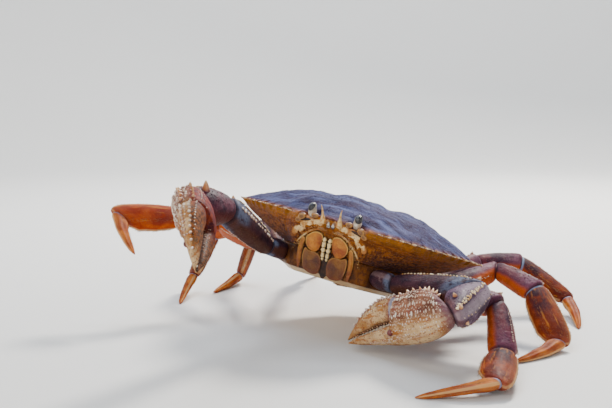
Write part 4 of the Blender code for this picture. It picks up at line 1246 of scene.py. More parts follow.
def add_lobe(form, x, place, half_x, half_place, lean, height, finish, sense):
    """A smooth swelling on the leaning face, turned by its lean in degrees."""
    lean_c, lean_s = math.cos(math.radians(lean)), math.sin(math.radians(lean))

    def spot_at(step, c, s):
        climb = math.pi * 0.5 * (step / 10.0) * 1.16 - 0.25
        a, b = c * half_x * math.cos(climb), s * half_place * math.cos(climb)
        rise = math.sin(climb)
        side = (x + a * lean_c - b * lean_s) * sense
        spot = face_spot(side, place + a * lean_s + b * lean_c, rise * height)
        spot += FACE_OUT * 0.12 * rough(spot, 1.6) * min(step, 3) / 3.0
        return own(spot, max(rise, 0.0), 1.0, 0.0)

    form.add_tube(range(11), 24, spot_at, finish, turned=sense < 0.0)


def add_rod(form, path, radii, finish, rings_each=4, sides=10, ringed=0.0):
    """A round rod through points of the body's axes, with growth rings along it if wanted."""
    last = len(path) - 1
    places = [index + step / rings_each for index in range(last) for step in range(rings_each)]
    spots = [path[int(place)].lerp(path[int(place) + 1], place % 1.0) for place in places]
    places.append(float(last))
    spots.append(path[-1])

    def spot_at(number, c, s):
        aim = (spots[min(number + 1, len(spots) - 1)] - spots[max(number - 1, 0)]).normalized()
        across = aim.orthogonal().normalized()
        whole = min(int(places[number]), len(radii) - 2)
        radius = mix(radii[whole], radii[whole + 1], places[number] - whole)
        radius *= 1.0 + (ringed if number % 2 else -ringed)
        spot = spots[number] + (across * c + across.cross(aim) * s) * radius
        return own(spot, places[number] / last, 0.0, 0.0)

    form.add_tube(range(len(spots)), sides, spot_at, finish)


def make_face(side):
    """The swollen plates and the ridge that frame the mouth on one side."""
    sense = SENSE[side]
    rng = random.Random(f"face {side}")
    form = Form()
    for lobe in FACE_LOBES:
        add_lobe(form, *lobe, sense)
    path = [face_spot(x * sense, place, 0.35) for x, place in MOUTH_RIDGE]
    add_rod(form, path, [0.45, 0.7, 0.75, 0.75, 0.7, 0.6, 0.3], 0, rings_each=6)
    for _ in range(90):
        x = rng.uniform(3.0, 23.0)
        place = 4.0 + 0.035 * x * x + rng.uniform(-3.0, 3.0)
        size = rng.uniform(0.18, 0.36)
        add_own_bead(form, face_spot(x * sense, place, 0.9), FACE_OUT, size, size, 0, 0.0, 1.0, 0.0)
    for _ in range(120):
        x = rng.uniform(2.0, 24.0)
        place = 5.8 + 0.034 * x * x + rng.uniform(-0.8, 0.8)
        aim = FACE_OUT * 0.8 + Vector((rng.uniform(-0.4, 0.4), 0.0, rng.uniform(-0.5, 0.1)))
        spot = face_spot(x * sense, place, 0.7)
        add_own_bristle(form, spot, aim, rng.uniform(0.9, 1.7), 0.07, BRISTLE, FACE_DOWN * 0.4)
    form.piece(f"mouth_frame_{side}", ("face", "brow", "bristle", "painted shadow"), "shell")


def make_jaw(side):
    """The outer jaw's plates, its pale palps, a thin dark plate of painted shadow in the gap beside
    them, and its fringes.
    """
    sense = SENSE[side]
    rng = random.Random(f"jaw {side}")
    form = Form()
    add_plate(form, MERUS_PLATE, 3.2, 0, sense, 1.0)
    add_plate(form, ISCHIUM_PLATE, 2.6, 0, sense, 0.15)
    add_plate(form, PALP_PLATE, 2.4, 0, sense, 0.6)
    # Painted shadow in the gap between the jaws
    add_plate(form, SHADOW_GAP_PLATE, 0.8, 3, sense, 0.0, 0.05)
    for joint in PALP_JOINTS:
        add_palp_joint(form, *joint, sense)
    for _ in range(150):
        x_range, place_range, lean = JAW_FRINGES[rng.choice(tuple(JAW_FRINGES))]
        x, place = rng.uniform(*x_range), rng.uniform(*place_range)
        spot = face_spot(x * sense, place, rng.uniform(0.9, 1.8))
        aim = FACE_OUT * 0.6 + Vector((lean[0] * sense, *lean[1:]))
        add_own_bristle(form, spot, aim, rng.uniform(0.8, 1.6), 0.07, BRISTLE, FACE_DOWN * 0.5)
    titles = ("plate", "palp", "bristle", "painted shadow")
    form.piece(f"jaw_plates_{side}", titles, "jaw", f"jaw_{side}")


def add_palp_joint(form, x, place, radius, reach, sense):
    """One of the pale joints beside the mouth, swollen in its middle."""
    def spot_at(share, c, s):
        width = math.sin(math.pi * (0.05 + 0.9 * share)) ** 0.6 * radius
        width *= 1.0 - 0.16 * math.sin(9.0 * share + place)
        down = place + (share - 0.5) * 2.0 * reach
        return own(face_spot(x * sense + c * width, down, 2.3 + s * width * 0.95), share, 0.0, 0.0)

    form.add_tube(shares(10), 14, spot_at, 1)


def eye_axes(sense):
    """Foot, direction and two cross directions of an eye stalk, in the body's axes."""
    x, y = EYE_PLACE
    front, back = Vector((x, face_y(-4.0), -4.0)), Vector((x, ORBIT[1][1], 0.0))
    slope = (front - back).normalized()
    foot = back + slope * ((y - back.y) / slope.y)
    foot.x *= sense
    aim = EYE_AIM.normalized()
    aim.x *= sense
    across = aim.cross(Vector((0.0, 1.0, 0.0))).normalized()
    return foot, aim, across, across.cross(aim)


def make_eye(side):
    """The bulb on its stalk, and the cornea that looks ahead and outwards."""
    sense = SENSE[side]
    foot, aim, across, up = eye_axes(sense)
    form = Form()

    def bulb(share, c, s):
        place = -0.6 + 10.7 * share
        spot = foot + aim * place + (across * c + up * s) * STALK_SHAPE.at(place)[0]
        spot.x -= 1.1 * sense * place / 10.1
        return own(spot, place / 10.2, c * sense, 0.0)

    form.add_tube(shares(24), 24, bulb)
    inner = Vector((-4.6 * sense, 0.4, 1.4))
    path = [foot + inner, foot + inner * 0.6 + aim * 1.6, foot + inner * 0.1 + aim * 3.4]
    add_rod(form, path, [1.5, 2.1, 1.9], 2, rings_each=6, sides=16)
    look = (aim * 0.45 + Vector((0.45 * sense, -1.0, 0.2))).normalized()
    middle = foot + aim * 7.8 + look * 0.9 - Vector((1.3 * sense, 0.0, 0.0))
    long_way = (aim - look * aim.dot(look)).normalized()
    wide_way = look.cross(long_way)

    def cornea(share, c, s):
        angle = math.pi * (0.02 + 0.96 * share)
        spot = middle + look * math.cos(angle) * 2.7
        spot += (wide_way * c * 2.6 + long_way * s * 3.4) * math.sin(angle)
        return own(spot, share, 0.0, 0.0)

    form.add_tube(shares(16), 28, cornea, 1)
    form.piece(f"eye_stalk_{side}", ("stalk", "cornea", "joint"), "eye", f"eye_{side}")


def make_feeler(side):
    """The feeler with its ringed whip, and the small folded one beside the beak."""
    sense = SENSE[side]
    x, z = FEELER_PLACE
    aim = FEELER_AIM.normalized()
    aim.x *= sense
    foot = Vector((x * sense, face_y(z), z))
    inner = Vector((-1.6 * sense, -1.4, 1.6))
    form = Form()
    path = [foot + inner + aim * reach for reach in (-0.6, 1.8, 4.2)]
    add_rod(form, path, [2.0, 1.8, 1.1], 0, sides=16)
    whip = ((1.0, 4.0), (1.0, 6.0), (0.9, 9.6), (0.6, 13.2))
    path = [foot + inner * share + aim * reach for share, reach in whip]
    add_rod(form, path, [0.9, 0.75, 0.45, 0.2], 0, rings_each=8, ringed=0.08)
    knee = Vector((1.5 * sense, face_y(-3.4) - 0.2, -3.4))
    tip = knee + Vector((0.3 * sense, -1.4, 2.0))
    end = tip + Vector((0.9 * sense, -0.3, 1.5))
    path = [knee - FACE_OUT * 0.8, knee + FACE_OUT * 0.8, tip, end]
    add_rod(form, path, [1.3, 1.2, 0.8, 0.3], 1, rings_each=6)
    form.piece(f"feeler_{side}", ("feeler", "small feeler"), "feeler", f"antenna_{side}")


# Underside


def finer_outline(outline):
    """Eight points for each edge of an outline, each with its distance from the corners."""
    points = []
    for a, b in zip(outline, outline[1:] + outline[:1]):
        for share in shares(8)[:-1]:
            points.append((a.lerp(b, share), min(share, 1.0 - share) * (b - a).length))
    return points


def make_underside():
    """The body's walls and the breast plates; the marks are how far under, and furrows."""
    form = Form()
    wall_top = LID_Z - GAP
    levels = [mix(wall_top, WALL_FOOT_Z, share) for share in shares(8)]
    rings = [
        [own(point, 0.0, 0.0, 0.0) for point, _ in finer_outline(limb_outline(z))] for z in levels
    ]
    upper = finer_outline(limb_outline(WALL_FOOT_Z))
    lower = finer_outline([
        Vector((p.x * STERNUM_INSET, max(p.y * 0.9, face_y(STERNUM_Z)), p.z))
        for p in limb_outline(STERNUM_Z)
    ])
    for share in shares(4)[1:]:
        ring = []
        for (a, _), (b, _) in zip(upper, lower):
            point = a.lerp(b, share)
            point.z = mix(a.z, b.z, share ** 1.3)
            ring.append(own(point, share, 0.0, 0.0))
        rings.append(ring)
    middle = Vector((0.0, -2.0, STERNUM_Z))
    for step in range(1, 20):
        scale = 1.0 - step / 20.0
        ring = []
        for point, gap in lower:
            spot = middle + (point - middle) * scale
            side = 1.0 if abs(point.x) > 9.0 else 0.2
            furrow = 0.9 * hump(gap * scale, 0.0, 0.9) * side * min(step / 3.0, 1.0)
            spot.z += furrow + 0.5 * hump(spot.x, 0.0, 7.0) + 0.12 * rough(spot, 3.0)
            ring.append(own(spot, 1.0, furrow, 0.0))
        rings.append(ring)
    form.add_rings(rings)
    for index in range(len(upper) * len(levels)):
        form.finish_of[index] = 1
    form.piece("breast_plates", ("belly", "wall"), "underside", "underbody")


def make_apron():
    """The tail flap folded under the body, in overlapping joints with a fringe at both sides."""
    rng = random.Random(5)
    form = Form()
    path = Curve([(float(i), *values) for i, values in enumerate(APRON_PATH)])
    last = len(APRON_PATH) - 1
    steps = 72
    rings = []
    for step in range(steps + 1):
        place = last * step / steps
        y, z, half_width = path.at(place)
        before, after = path.at(max(place - 0.1, 0.0)), path.at(min(place + 0.1, last))
        along = Vector((0.0, after[0] - before[0], after[1] - before[1])).normalized()
        out = Vector((0.0, -along.z, along.y))
        if out.dot(Vector((0.0, y, z - LID_Z))) < 0.0:
            out = -out
        joint = (place * 0.78) % 1.0
        thick = APRON_THICK * 0.6 * (0.72 + 0.38 * joint ** 0.6)
        width = half_width * (0.965 + 0.035 * joint)
        ring = []
        for c, s in circle(24):
            rise = math.copysign(abs(c) ** 0.6, c)
            ridge = 0.25 * hump(s, 0.0, 0.22) if rise > 0.0 else 0.0
            spot = Vector((s * width, y, z)) + out * (rise * thick + ridge)
            ring.append(own(spot, joint, 0.0, 0.0))
            if rise < 0.5 and abs(s) > 0.9 and rng.random() < 0.35:
                aim = Vector((math.copysign(0.8, s), 0.0, 0.0)) + out * 0.3 - along * 0.4
                length = rng.uniform(0.8, 1.6)
                add_own_bristle(form, spot, aim, length, 0.08, FRINGE, along * -0.3)
        rings.append(ring)
    form.add_rings(rings)
    form.piece("apron_plates", ("belly", "bristle"), "underside", "apron")


# Limbs, as packed

CLAW_LENGTHS = [15.0, 52.0, 35.0]
CHELA_LENGTH = 81.0
CHELA_BEND = 25.0
WRIST_REACH = 36.0
LEG_LENGTHS = [16.0, 55.0, 35.0, 42.0, 44.0]
LAST_LEG_LENGTHS = [14.0, 43.0, 27.0, 33.0, 36.0]
LAST_LEG_SIZE = 0.86
ROOT_Z = -27.2
CLAW_REACH = {
    "right": [(-46, -72, 86), (-64, -98, 94), (-59, -170, 86)],
    "left": [(101, -91, 40), (82, -120, 36), (27, -64, 16)],
}
LEG_REACH = {
    "right": [
        [(-60, 34, 64), (-92, 20, 71), (-129, 14, 73), (-119, -21, 54)],
        [(-50, 66, 60), (-72, 88, 52), (-90, 94, 18), (-98, 60, 0)],
        [(-28, 90, 55), (-42, 116, 46), (-54, 126, 14), (-72, 98, 0)],
        [(2, 88, 50), (2, 112, 42), (0, 136, 16), (10, 162, 0)],
    ],
    "left": [
        [(114, -84, 31), (113, -112, 11), (99, -158, 6), (52, -160, 0)],
        [(134, -8, 38), (149, -34, 31), (157, -63, 10), (128, -97, 0)],
        [(132, 32, 38), (165, 38, 34), (193, 22, 10), (190, -18, 0)],
        [(104, 62, 36), (120, 80, 30), (130, 102, 8), (118, 134, 0)],
    ],
}
ROOT_SPREAD = 0.8
RAISED_LEG = (2, "right")
FOOT_SINK = 0.45
CLAW_LEAN = {"right": Vector((-0.3, 0.0, 1.0)), "left": Vector((0.1, 0.35, 1.0))}
LEG_PARTS = ("ischium", "merus", "carpus", "propodus", "dactyl")
ARM_PARTS = LEG_PARTS[:3]

# Sections along a segment: place, top, bottom, half width
ROOT_SHAPE = [(0.0, 5.8, -5.8, 5.4), (0.35, 6.6, -6.6, 6.0), (1.0, 6.4, -6.2, 5.2)]
LEG_SHAPES = {
    "ischium": ROOT_SHAPE,
    "merus": [
        (0.0, 6.2, -6.0, 4.6), (0.15, 7.6, -7.2, 5.4), (0.5, 9.2, -8.0, 6.0),
        (0.82, 9.4, -7.4, 6.2), (0.95, 8.4, -6.2, 6.0), (1.0, 7.0, -5.4, 5.4),
    ],
    "carpus": [
        (0.0, 6.2, -5.0, 5.0), (0.15, 7.6, -5.4, 5.8), (0.55, 8.8, -6.6, 6.4),
        (0.88, 8.8, -7.4, 6.0), (1.0, 7.6, -6.8, 5.4),
    ],
    "propodus": [
        (0.0, 7.2, -6.6, 4.8), (0.15, 8.8, -7.8, 5.2), (0.5, 9.8, -9.2, 5.0),
        (0.82, 9.0, -9.2, 4.4), (1.0, 6.2, -6.4, 3.8),
    ],
    "dactyl": [
        (0.0, 4.4, -4.4, 3.4), (0.12, 5.0, -4.4, 3.6), (0.35, 5.0, -3.0, 3.0),
        (0.6, 3.4, -2.8, 2.3), (0.8, 1.4, -2.9, 1.6), (0.93, -0.7, -2.9, 1.0),
        (1.0, -2.0, -2.8, 0.5),
    ],
}
ARM_SHAPES = {
    "ischium": ROOT_SHAPE,
    "merus": [
        (0.0, 5.6, -5.6, 5.4), (0.2, 7.4, -7.0, 7.0), (0.6, 9.6, -8.4, 8.4),
        (0.9, 10.2, -8.2, 8.8), (1.0, 8.6, -7.0, 7.6),
    ],
    "carpus": [
        (0.0, 8.2, -6.6, 7.4), (0.2, 11.0, -8.6, 9.6), (0.6, 12.6, -10.4, 11.2),
        (0.9, 10.4, -8.8, 9.0), (1.0, 7.0, -6.4, 6.2),
    ],
}
# The same for palm and finger, with distances from the wrist as places
PALM_SHAPE = [
    (0.0, 6.2, -6.2, 5.4), (4.0, 9.6, -8.4, 7.4), (12.0, 14.0, -12.2, 9.4),
    (25.0, 16.0, -15.0, 10.4), (38.0, 15.0, -15.4, 9.8), (42.4, 13.8, -15.2, 8.8),
    (43.4, -2.6, -15.2, 7.6), (52.0, -4.6, -14.8, 5.6), (62.0, -7.0, -14.4, 4.4),
    (72.0, -9.4, -14.0, 3.0), (81.0, -12.2, -13.2, 0.6),
]
FINGER_SHAPE = [
    (43.8, 12.4, -1.0, 7.0), (47.0, 14.2, -1.8, 7.0), (55.0, 13.2, -2.8, 5.8),
    (63.0, 9.6, -5.0, 4.6), (71.0, 3.6, -7.6, 3.4), (78.0, -4.6, -9.8, 1.8),
    (81.6, -10.0, -11.0, 0.6),
]
HINGE_PLACE = 43.2
HINGE_SECTION = (11.6, -1.6, 6.4)


# The skeleton


def upright(dorsal, axis):
    """The part of a direction that is square to an axis."""
    return (dorsal - axis * dorsal.dot(axis)).normalized()


def reach_joints(base, normal, targets, lengths):
    """Joints of a limb that leaves the body at its root and then reaches for each target."""
    body_up = BODY_TURN @ UP
    ahead = Vector(targets[0]) - base
    aim = (normal * ROOT_SPREAD + upright(ahead, body_up)).normalized()
    joints = [base, base + aim * lengths[0]]
    for target, length in zip(targets, lengths[1:]):
        aim = (Vector(target) - joints[-1]).normalized()
        joints.append(joints[-1] + aim * length)
    return joints


def swing_tip(joints, tip_z):
    """Turns the last segment up or down until its tip is at a height."""
    knuckle, tip = joints[-2:]
    drop = tip_z - knuckle.z
    flat = Vector((tip.x - knuckle.x, tip.y - knuckle.y, 0.0)).normalized()
    run = math.sqrt((tip - knuckle).length ** 2 - drop * drop)
    joints[-1] = knuckle + flat * run + UP * drop


def limb_root(pair, side):
    """Middle and outward direction of the body's wall where a limb starts."""
    a, b = (Vector((*LIMB_CORNERS[index], ROOT_Z)) for index in (pair, pair + 1))
    middle = (a + b) / 2.0
    edge = (b - a).normalized()
    normal = Vector((-edge.y, edge.x, 0.0))
    if normal.dot(middle) < 0.0:
        normal = -normal
    if side == "right":
        middle, normal = mirrored(middle), mirrored(normal)
    return in_room(middle), BODY_TURN @ normal


def joint_planes(root_normal, joints):
    """Directions of the segments, and of the planes in which they meet."""
    aims = [(b - a).normalized() for a, b in zip(joints, joints[1:])]
    between = [(before + after).normalized() for before, after in zip(aims, aims[1:])]
    return aims, [root_normal, *between, aims[-1]]


def outer_side(aims, index):
    """The dorsal direction of a segment: up, and to the outside of its bends."""
    side = UP * 0.35
    if index > 0:
        side = side + aims[index - 1] - aims[index]
    if index < len(aims) - 1:
        side = side + aims[index] - aims[index + 1]
    return side


def section_offset(up, side, section, turn, swell=0.0):
    """From the middle of a section to its skin, at a turn in degrees from the top."""
    top, bottom, half_width = section
    rise = math.cos(math.radians(turn))
    across = math.sin(math.radians(turn))
    spread = math.copysign(abs(across) ** 0.85, across)
    half = (top - bottom) / 2.0
    offset = up * ((top + bottom) / 2.0 + rise * (half + swell))
    return offset + side * spread * (half_width + swell)


def segment_point(ends, dorsal, planes, section, place, turn, swell=0.0):
    """A point of a segment's skin; its two ends lie in the joints' planes."""
    (start, end), (near, far) = ends, planes
    axis = (end - start).normalized()
    up = upright(dorsal, axis)
    offset = section_offset(up, axis.cross(up), section, turn, swell)
    begin = (GAP / 2.0 - near.dot(offset)) / near.dot(axis)
    finish = (-GAP / 2.0 - far.dot(offset)) / far.dot(axis)
    along = place * (end - start).length + begin * (1.0 - place) ** 2 + finish * place ** 2
    return start + offset + axis * along


def lowest_of(ends, dorsal, planes, shape):
    """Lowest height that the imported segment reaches, from the same ten-sided rings."""
    return min(
        segment_point(ends, dorsal, planes, section, place, 36.0 * i).z
        for place, *section in shape
        for i in range(10)
    )


def chela_frame(wrist, target, lean, sense):
    """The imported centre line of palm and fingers: gives place and axes at a distance."""
    chord = (Vector(target) - wrist).normalized()
    up = upright(lean, chord)
    places, axes = [wrist], []
    count = int(CHELA_LENGTH + 4)
    for i in range(count):
        bend = math.radians(CHELA_BEND) * (i / CHELA_LENGTH - 0.5) * sense
        axes.append(Matrix.Rotation(bend, 3, up) @ chord)
        places.append(places[-1] + axes[-1])

    def at(distance):
        whole = min(int(distance), count - 1)
        share = distance - whole
        axis = axes[whole].lerp(axes[min(whole + 1, count - 1)], share).normalized()
        return places[whole] + axes[whole] * share, axis, up, axis.cross(up)

    return at


# What grows on the limbs

# Ridges along a segment: turn from the top in degrees, width in degrees, height
LEG_RIDGES = {
    "ischium": [(0.0, 20.0, 0.3)],
    "merus": [(0.0, 13.0, 0.8), (150.0, 14.0, 0.5), (-150.0, 14.0, 0.5), (48.0, 26.0, -0.3)],
    "carpus": [(0.0, 12.0, 0.8), (42.0, 11.0, 0.6), (-42.0, 11.0, 0.4), (95.0, 30.0, -0.3)],
    "propodus": [
        (0.0, 12.0, 0.8), (30.0, 12.0, -0.25), (90.0, 26.0, 0.4), (-90.0, 26.0, 0.4),
        (150.0, 12.0, -0.25), (180.0, 12.0, 0.8),
    ],
    "dactyl": [
        (0.0, 13.0, 0.5), (30.0, 10.0, -0.3), (-30.0, 10.0, -0.3), (62.0, 12.0, 0.45),
        (-62.0, 12.0, 0.45), (95.0, 11.0, -0.35), (-95.0, 11.0, -0.35), (130.0, 12.0, 0.4),
        (-130.0, 12.0, 0.4), (180.0, 12.0, 0.45),
    ],
}
ARM_RIDGES = {
    "ischium": [(0.0, 20.0, 0.3)],
    "merus": [(20.0, 12.0, 0.9), (-60.0, 12.0, 0.6), (150.0, 16.0, 0.6)],
    "carpus": [(12.0, 16.0, 0.3), (60.0, 18.0, 0.3), (110.0, 18.0, 0.3), (-30.0, 16.0, 0.4)],
}
PALM_RIDGES = [
    (0.0, 10.0, 0.5), (18.0, 7.0, 0.4), (30.0, 7.0, 0.6), (48.0, 7.0, 0.8), (68.0, 8.0, 0.8),
    (88.0, 8.0, 0.8), (106.0, 7.0, 0.6), (120.0, 6.0, 0.4), (134.0, 7.0, 0.5),
]
FINGER_RIDGES = [(0.0, 14.0, 0.5), (34.0, 12.0, 0.45), (70.0, 12.0, 0.4), (-34.0, 12.0, 0.35)]
# Rows of beads on a leg: turn, first and last place
LEG_ROWS = {
    "merus": [(0.0, 0.12, 0.95), (150.0, 0.2, 0.9), (-150.0, 0.2, 0.9)],
    "carpus": [(0.0, 0.12, 0.95), (42.0, 0.15, 0.95), (-42.0, 0.3, 0.9)],
    "propodus": [(0.0, 0.06, 0.9), (180.0, 0.15, 0.9)],
}
# Granules over a leg's upper side: count, spread in degrees
LEG_SCATTER = {"merus": (90, 75.0), "carpus": (70, 80.0)}
# The spine at the end of a leg's segment: place, turn, radius, height
LEG_SPINES = {"merus": (0.93, 0.0, 1.4, 2.2), "carpus": (0.9, 12.0, 1.3, 2.0)}
# Bristles: count, first and last place, turn, spread in degrees, length
LEG_BRISTLES = {
    "merus": [(60, 0.1, 0.95, 180.0, 35.0, 1.8)],
    "carpus": [(40, 0.1, 0.95, 180.0, 40.0, 1.6)],
    "propodus": [
        *((70, 0.08, 0.97, turn, 9.0, 1.5) for turn in (34.0, -34.0, 112.0, -112.0)),
        (90, 0.08, 0.97, 180.0, 14.0, 2.2),
    ],
    "dactyl": [
        *((70, 0.05, 0.86, turn, 7.0, 1.3) for turn in (30.0, -30.0, 95.0, -95.0)),
        (60, 0.05, 0.8, 180.0, 12.0, 1.7),
    ],
}
# Rows of beads on an arm: turn, first and last place, finish, spacing, size
ARM_ROWS = {
    "merus": [
        (20.0, 0.1, 0.97, 4, 1.9, 0.95), (-60.0, 0.1, 0.97, 4, 2.0, 0.8),
        (150.0, 0.1, 0.95, 1, 1.8, 0.5),
    ],
    "carpus": [
        (12.0, 0.12, 0.93, 1, 2.2, 0.5), (62.0, 0.3, 0.96, 1, 1.7, 0.7),
        (100.0, 0.3, 0.96, 1, 1.7, 0.7),
    ],
}
RAISED_ARM_ROW = (-98.0, 0.06, 0.98, 1, 3.4, 1.15)
# Granules over an arm: count, first and last place, turn, spread in degrees, finish, size
ARM_SCATTER = {
    "merus": [(170, 0.08, 0.95, 0.0, 110.0, 0, 0.4)],
    "carpus": [(80, 0.12, 0.93, -28.0, 6.0, 4, 0.66), (220, 0.08, 0.95, 20.0, 130.0, 0, 0.36)],
}
ARM_BRISTLES = {"merus": [(60, 0.1, 0.95, 180.0, 40.0, 2.0)]}
# Spines of an arm: place, turn, radius, height, lean
ARM_SPINES = {
    "merus": [(0.9, 25.0, 1.8, 3.4, 0.6), (0.62, 8.0, 1.4, 2.2, 0.4), (0.92, -30.0, 1.5, 2.4, 0.6)],
    "carpus": [(0.86, -20.0, 1.6, 2.6, 0.5), (0.84, 34.0, 1.5, 2.0, 0.4)],
}
WRIST_SPINE = {"right": (0.74, -62.0, 2.6, 7.5, 0.5), "left": (0.8, -62.0, 1.5, 3.0, 0.5)}
# Rows of beads on the palm: turn, first and last distance, count, size, how much longer across
PALM_ROWS = [
    (30.0, 10.0, 41.0, 15, 0.55, 1.3), (48.0, 8.0, 42.0, 19, 0.55, 1.9),
    (68.0, 6.5, 42.5, 21, 0.6, 2.2), (88.0, 6.0, 43.0, 21, 0.58, 2.0),
    (106.0, 7.0, 43.0, 21, 0.5, 1.3), (120.0, 8.0, 52.0, 28, 0.42, 1.0),
    (134.0, 8.0, 62.0, 38, 0.5, 1.0), (39.0, 10.0, 41.0, 20, 0.36, 1.0),
    (58.0, 8.0, 42.0, 22, 0.36, 1.2), (78.0, 7.0, 42.0, 22, 0.36, 1.2),
    (97.0, 7.0, 43.0, 22, 0.36, 1.0), (146.0, 10.0, 60.0, 30, 0.36, 1.0),
    (4.0, 12.0, 40.0, 12, 0.6, 1.0), (-40.0, 10.0, 40.0, 15, 0.45, 1.0),
]
FINGER_ROWS = [
    (70.0, 48.0, 66.0, 12, 0.45), (14.0, 47.0, 70.0, 14, 0.45), (-34.0, 48.0, 68.0, 12, 0.4)
]
# How bold the largest spines of a claw are
SPINE_BOLD = {"left": 1.0, "right": 0.62}
# Distances of the rings, closer at the wrist, the step behind the finger and the tips
PALM_PLACES = [
    0.0, 0.5, 1.2, 2.2, 3.4, *(4.8 + 1.25 * step for step in range(30)),
    42.0, 42.4, 42.6, 42.8, 43.0, 43.2, 43.4, 44.0, 45.0,
    *(46.3 + 1.2 * step for step in range(28)), 79.6, 80.4, 81.0,
]
FINGER_PLACES = [
    43.8, 44.1, 44.6, 45.3, 46.2, *(47.2 + 0.95 * step for step in range(35)), 81.0, 81.4, 81.6
]
# Finishes of arms, palm and finger after their main one; 4 is gold on the arms
PEARL, TOOTH, THORN, KNOB = 1, 2, 3, 4


def rim_scale(place, length, tip):
    """Thinner at both ends, with a low collar behind the outer one."""
    near = 1.0 - 0.1 * hump(place * length, 0.0, 0.9)
    if tip:
        return near
    far = (1.0 - place) * length
    return near - 0.07 * hump(far, 0.0, 0.6) + 0.03 * hump(far, 2.2, 1.3)


class Skin:
    """What segments and claws share: the skin between two places, and what grows on it.

    Turns are in degrees from the top, counted towards the outer side of the limb.
    """

    def mark(self, place, turn):
        angle = math.radians(turn)
        return place / self.whole, math.cos(angle), math.sin(angle)

    def ease(self, place, near, far):
        """Full between the ends, and nothing at both of them."""
        return clamp(min((place - self.first) / near, (self.last - place) / far))

    def ridge(self, place, turn):
        height = sum(h * hump(turn_gap(turn, c), 0.0, w) for c, w, h in self.ridges)
        return height * self.ease(place, *self.ridge_ends)

    def aim(self, place, turn):
        """The outward direction of the skin."""
        step, swing = self.steps
        along = self.skin(min(place + step, self.last), turn)
        along = along - self.skin(max(place - step, self.first), turn)
        across = self.skin(place, turn + swing) - self.skin(place, turn - swing)
        return surface_aim(self.skin(place, turn) - self.middle(place), along, across)

    def body(self, form, places, sides):
        fine, fine_scale, broad, broad_scale = self.grit
        rings = []
        for place in places:
            ring = []
            for i in range(sides):
                turn = 360.0 * i / sides
                where = self.local(place, turn)
                swell = fine * rough(where / CM, fine_scale)
                swell += broad * rough(where / CM, broad_scale)
                swell *= self.ease(place, *self.body_ends)
                ring.append((self.skin(place, turn, swell), where, self.mark(place, turn)))
            rings.append(ring)
        form.add_rings(rings)

    def bead(self, form, place, turn, size, finish, flat=0.95, sides=8, longer=1.0):
        """One granule on the skin, longer across the limb if wanted."""
        across = None
        if longer > 1.0:
            across = (self.skin(place, turn + 3.0) - self.skin(place, turn - 3.0)).normalized()
        form.add_stud(
            BEAD, self.skin(place, turn), self.aim(place, turn), (size, size * flat), finish,
            self.local(place, turn), self.mark(place, turn), sides, across, longer,
        )

    def spine(self, form, place, turn, size, lean, finish):
        """One spine on the skin that leans towards the limb's tip."""
        aim = (self.aim(place, turn) + self.axis_at(place) * lean).normalized()
        where, mark = self.local(place, turn), self.mark(place, turn)
        form.add_stud(SPINE, self.skin(place, turn), aim, size, finish, where, mark)


class Segment(Skin):
    """One straight segment of a limb; its places are shares of its length."""

    first, last, whole = 0.0, 1.0, 1.0
    ridge_ends, body_ends = (0.12, 0.1), (0.1, 0.08)
    grit = (0.14, 2.6, 0.2, 8.0)
    steps = (0.02, 6.0)

    def __init__(self, ends, planes, dorsal, shape, ridges, outer, seed, tip=False):
        self.ends, self.planes, self.dorsal = ends, planes, dorsal
        self.curve, self.ridges = Curve(shape), ridges
        self.outer, self.seed, self.tip = outer, seed, tip
        self.length = (ends[1] - ends[0]).length
        self.axis = (ends[1] - ends[0]).normalized()

    def axis_at(self, _):
        return self.axis

    def middle(self, place):
        return self.ends[0].lerp(self.ends[1], place)

    def skin(self, place, turn, swell=0.0):
        scale = rim_scale(place, self.length, self.tip)
        section = [value * scale for value in self.curve.at(place)]
        swell += self.ridge(place, turn)
        turn *= self.outer
        return segment_point(self.ends, self.dorsal, self.planes, section, place, turn, swell)

    def local(self, place, turn):
        """Place along, and round the segment, for the finishes; it differs from limb to limb."""
        radius = self.curve.at(place)[0]
        angle = math.radians(turn)
        along = place * self.length + self.seed * 37.0
        return Vector((along, math.sin(angle) * radius, math.cos(angle) * radius)) * CM

    def shell(self, form, sides=44, steps=46):
        """The segment's own body, with closer rings towards both ends."""
        places = []
        for share in shares(steps):
            eased = 0.5 - 0.5 * math.cos(math.pi * share)
            places.append(eased * 0.45 + 0.55 * share)
        self.body(form, places, sides)

    def bead_row(self, form, rng, turn, first, last, finish, spacing=1.5, size=0.42):
        count = int((last - first) * self.length / spacing)
        for i in range(count):
            place = first + (last - first) * (i + rng.uniform(-0.25, 0.25)) / count
            angle = turn + rng.uniform(-2.5, 2.5)
            self.bead(form, place, angle, size * rng.uniform(0.7, 1.25), finish, 0.9, 6)

    def scatter(self, form, rng, count, first, last, centre, spread, finish, size=0.34):
        for _ in range(count):
            place = rng.uniform(first, last)
            angle = centre + rng.uniform(-spread, spread)
            self.bead(form, place, angle, size * rng.uniform(0.6, 1.3), finish, 0.7, 6)

    def bristles(self, form, rng, count, first, last, turn, spread, length):
        for _ in range(count):
            place = rng.uniform(first, last)
            angle = turn + rng.uniform(-spread, spread)
            out = self.aim(place, angle)
            form.add_bristle(
                self.skin(place, angle) - out * 0.15, (out * 0.7 + self.axis * 0.8).normalized(),
                length * rng.uniform(0.6, 1.2), 0.08, BRISTLE,
                self.local(place, angle), self.axis * 0.35,
            )


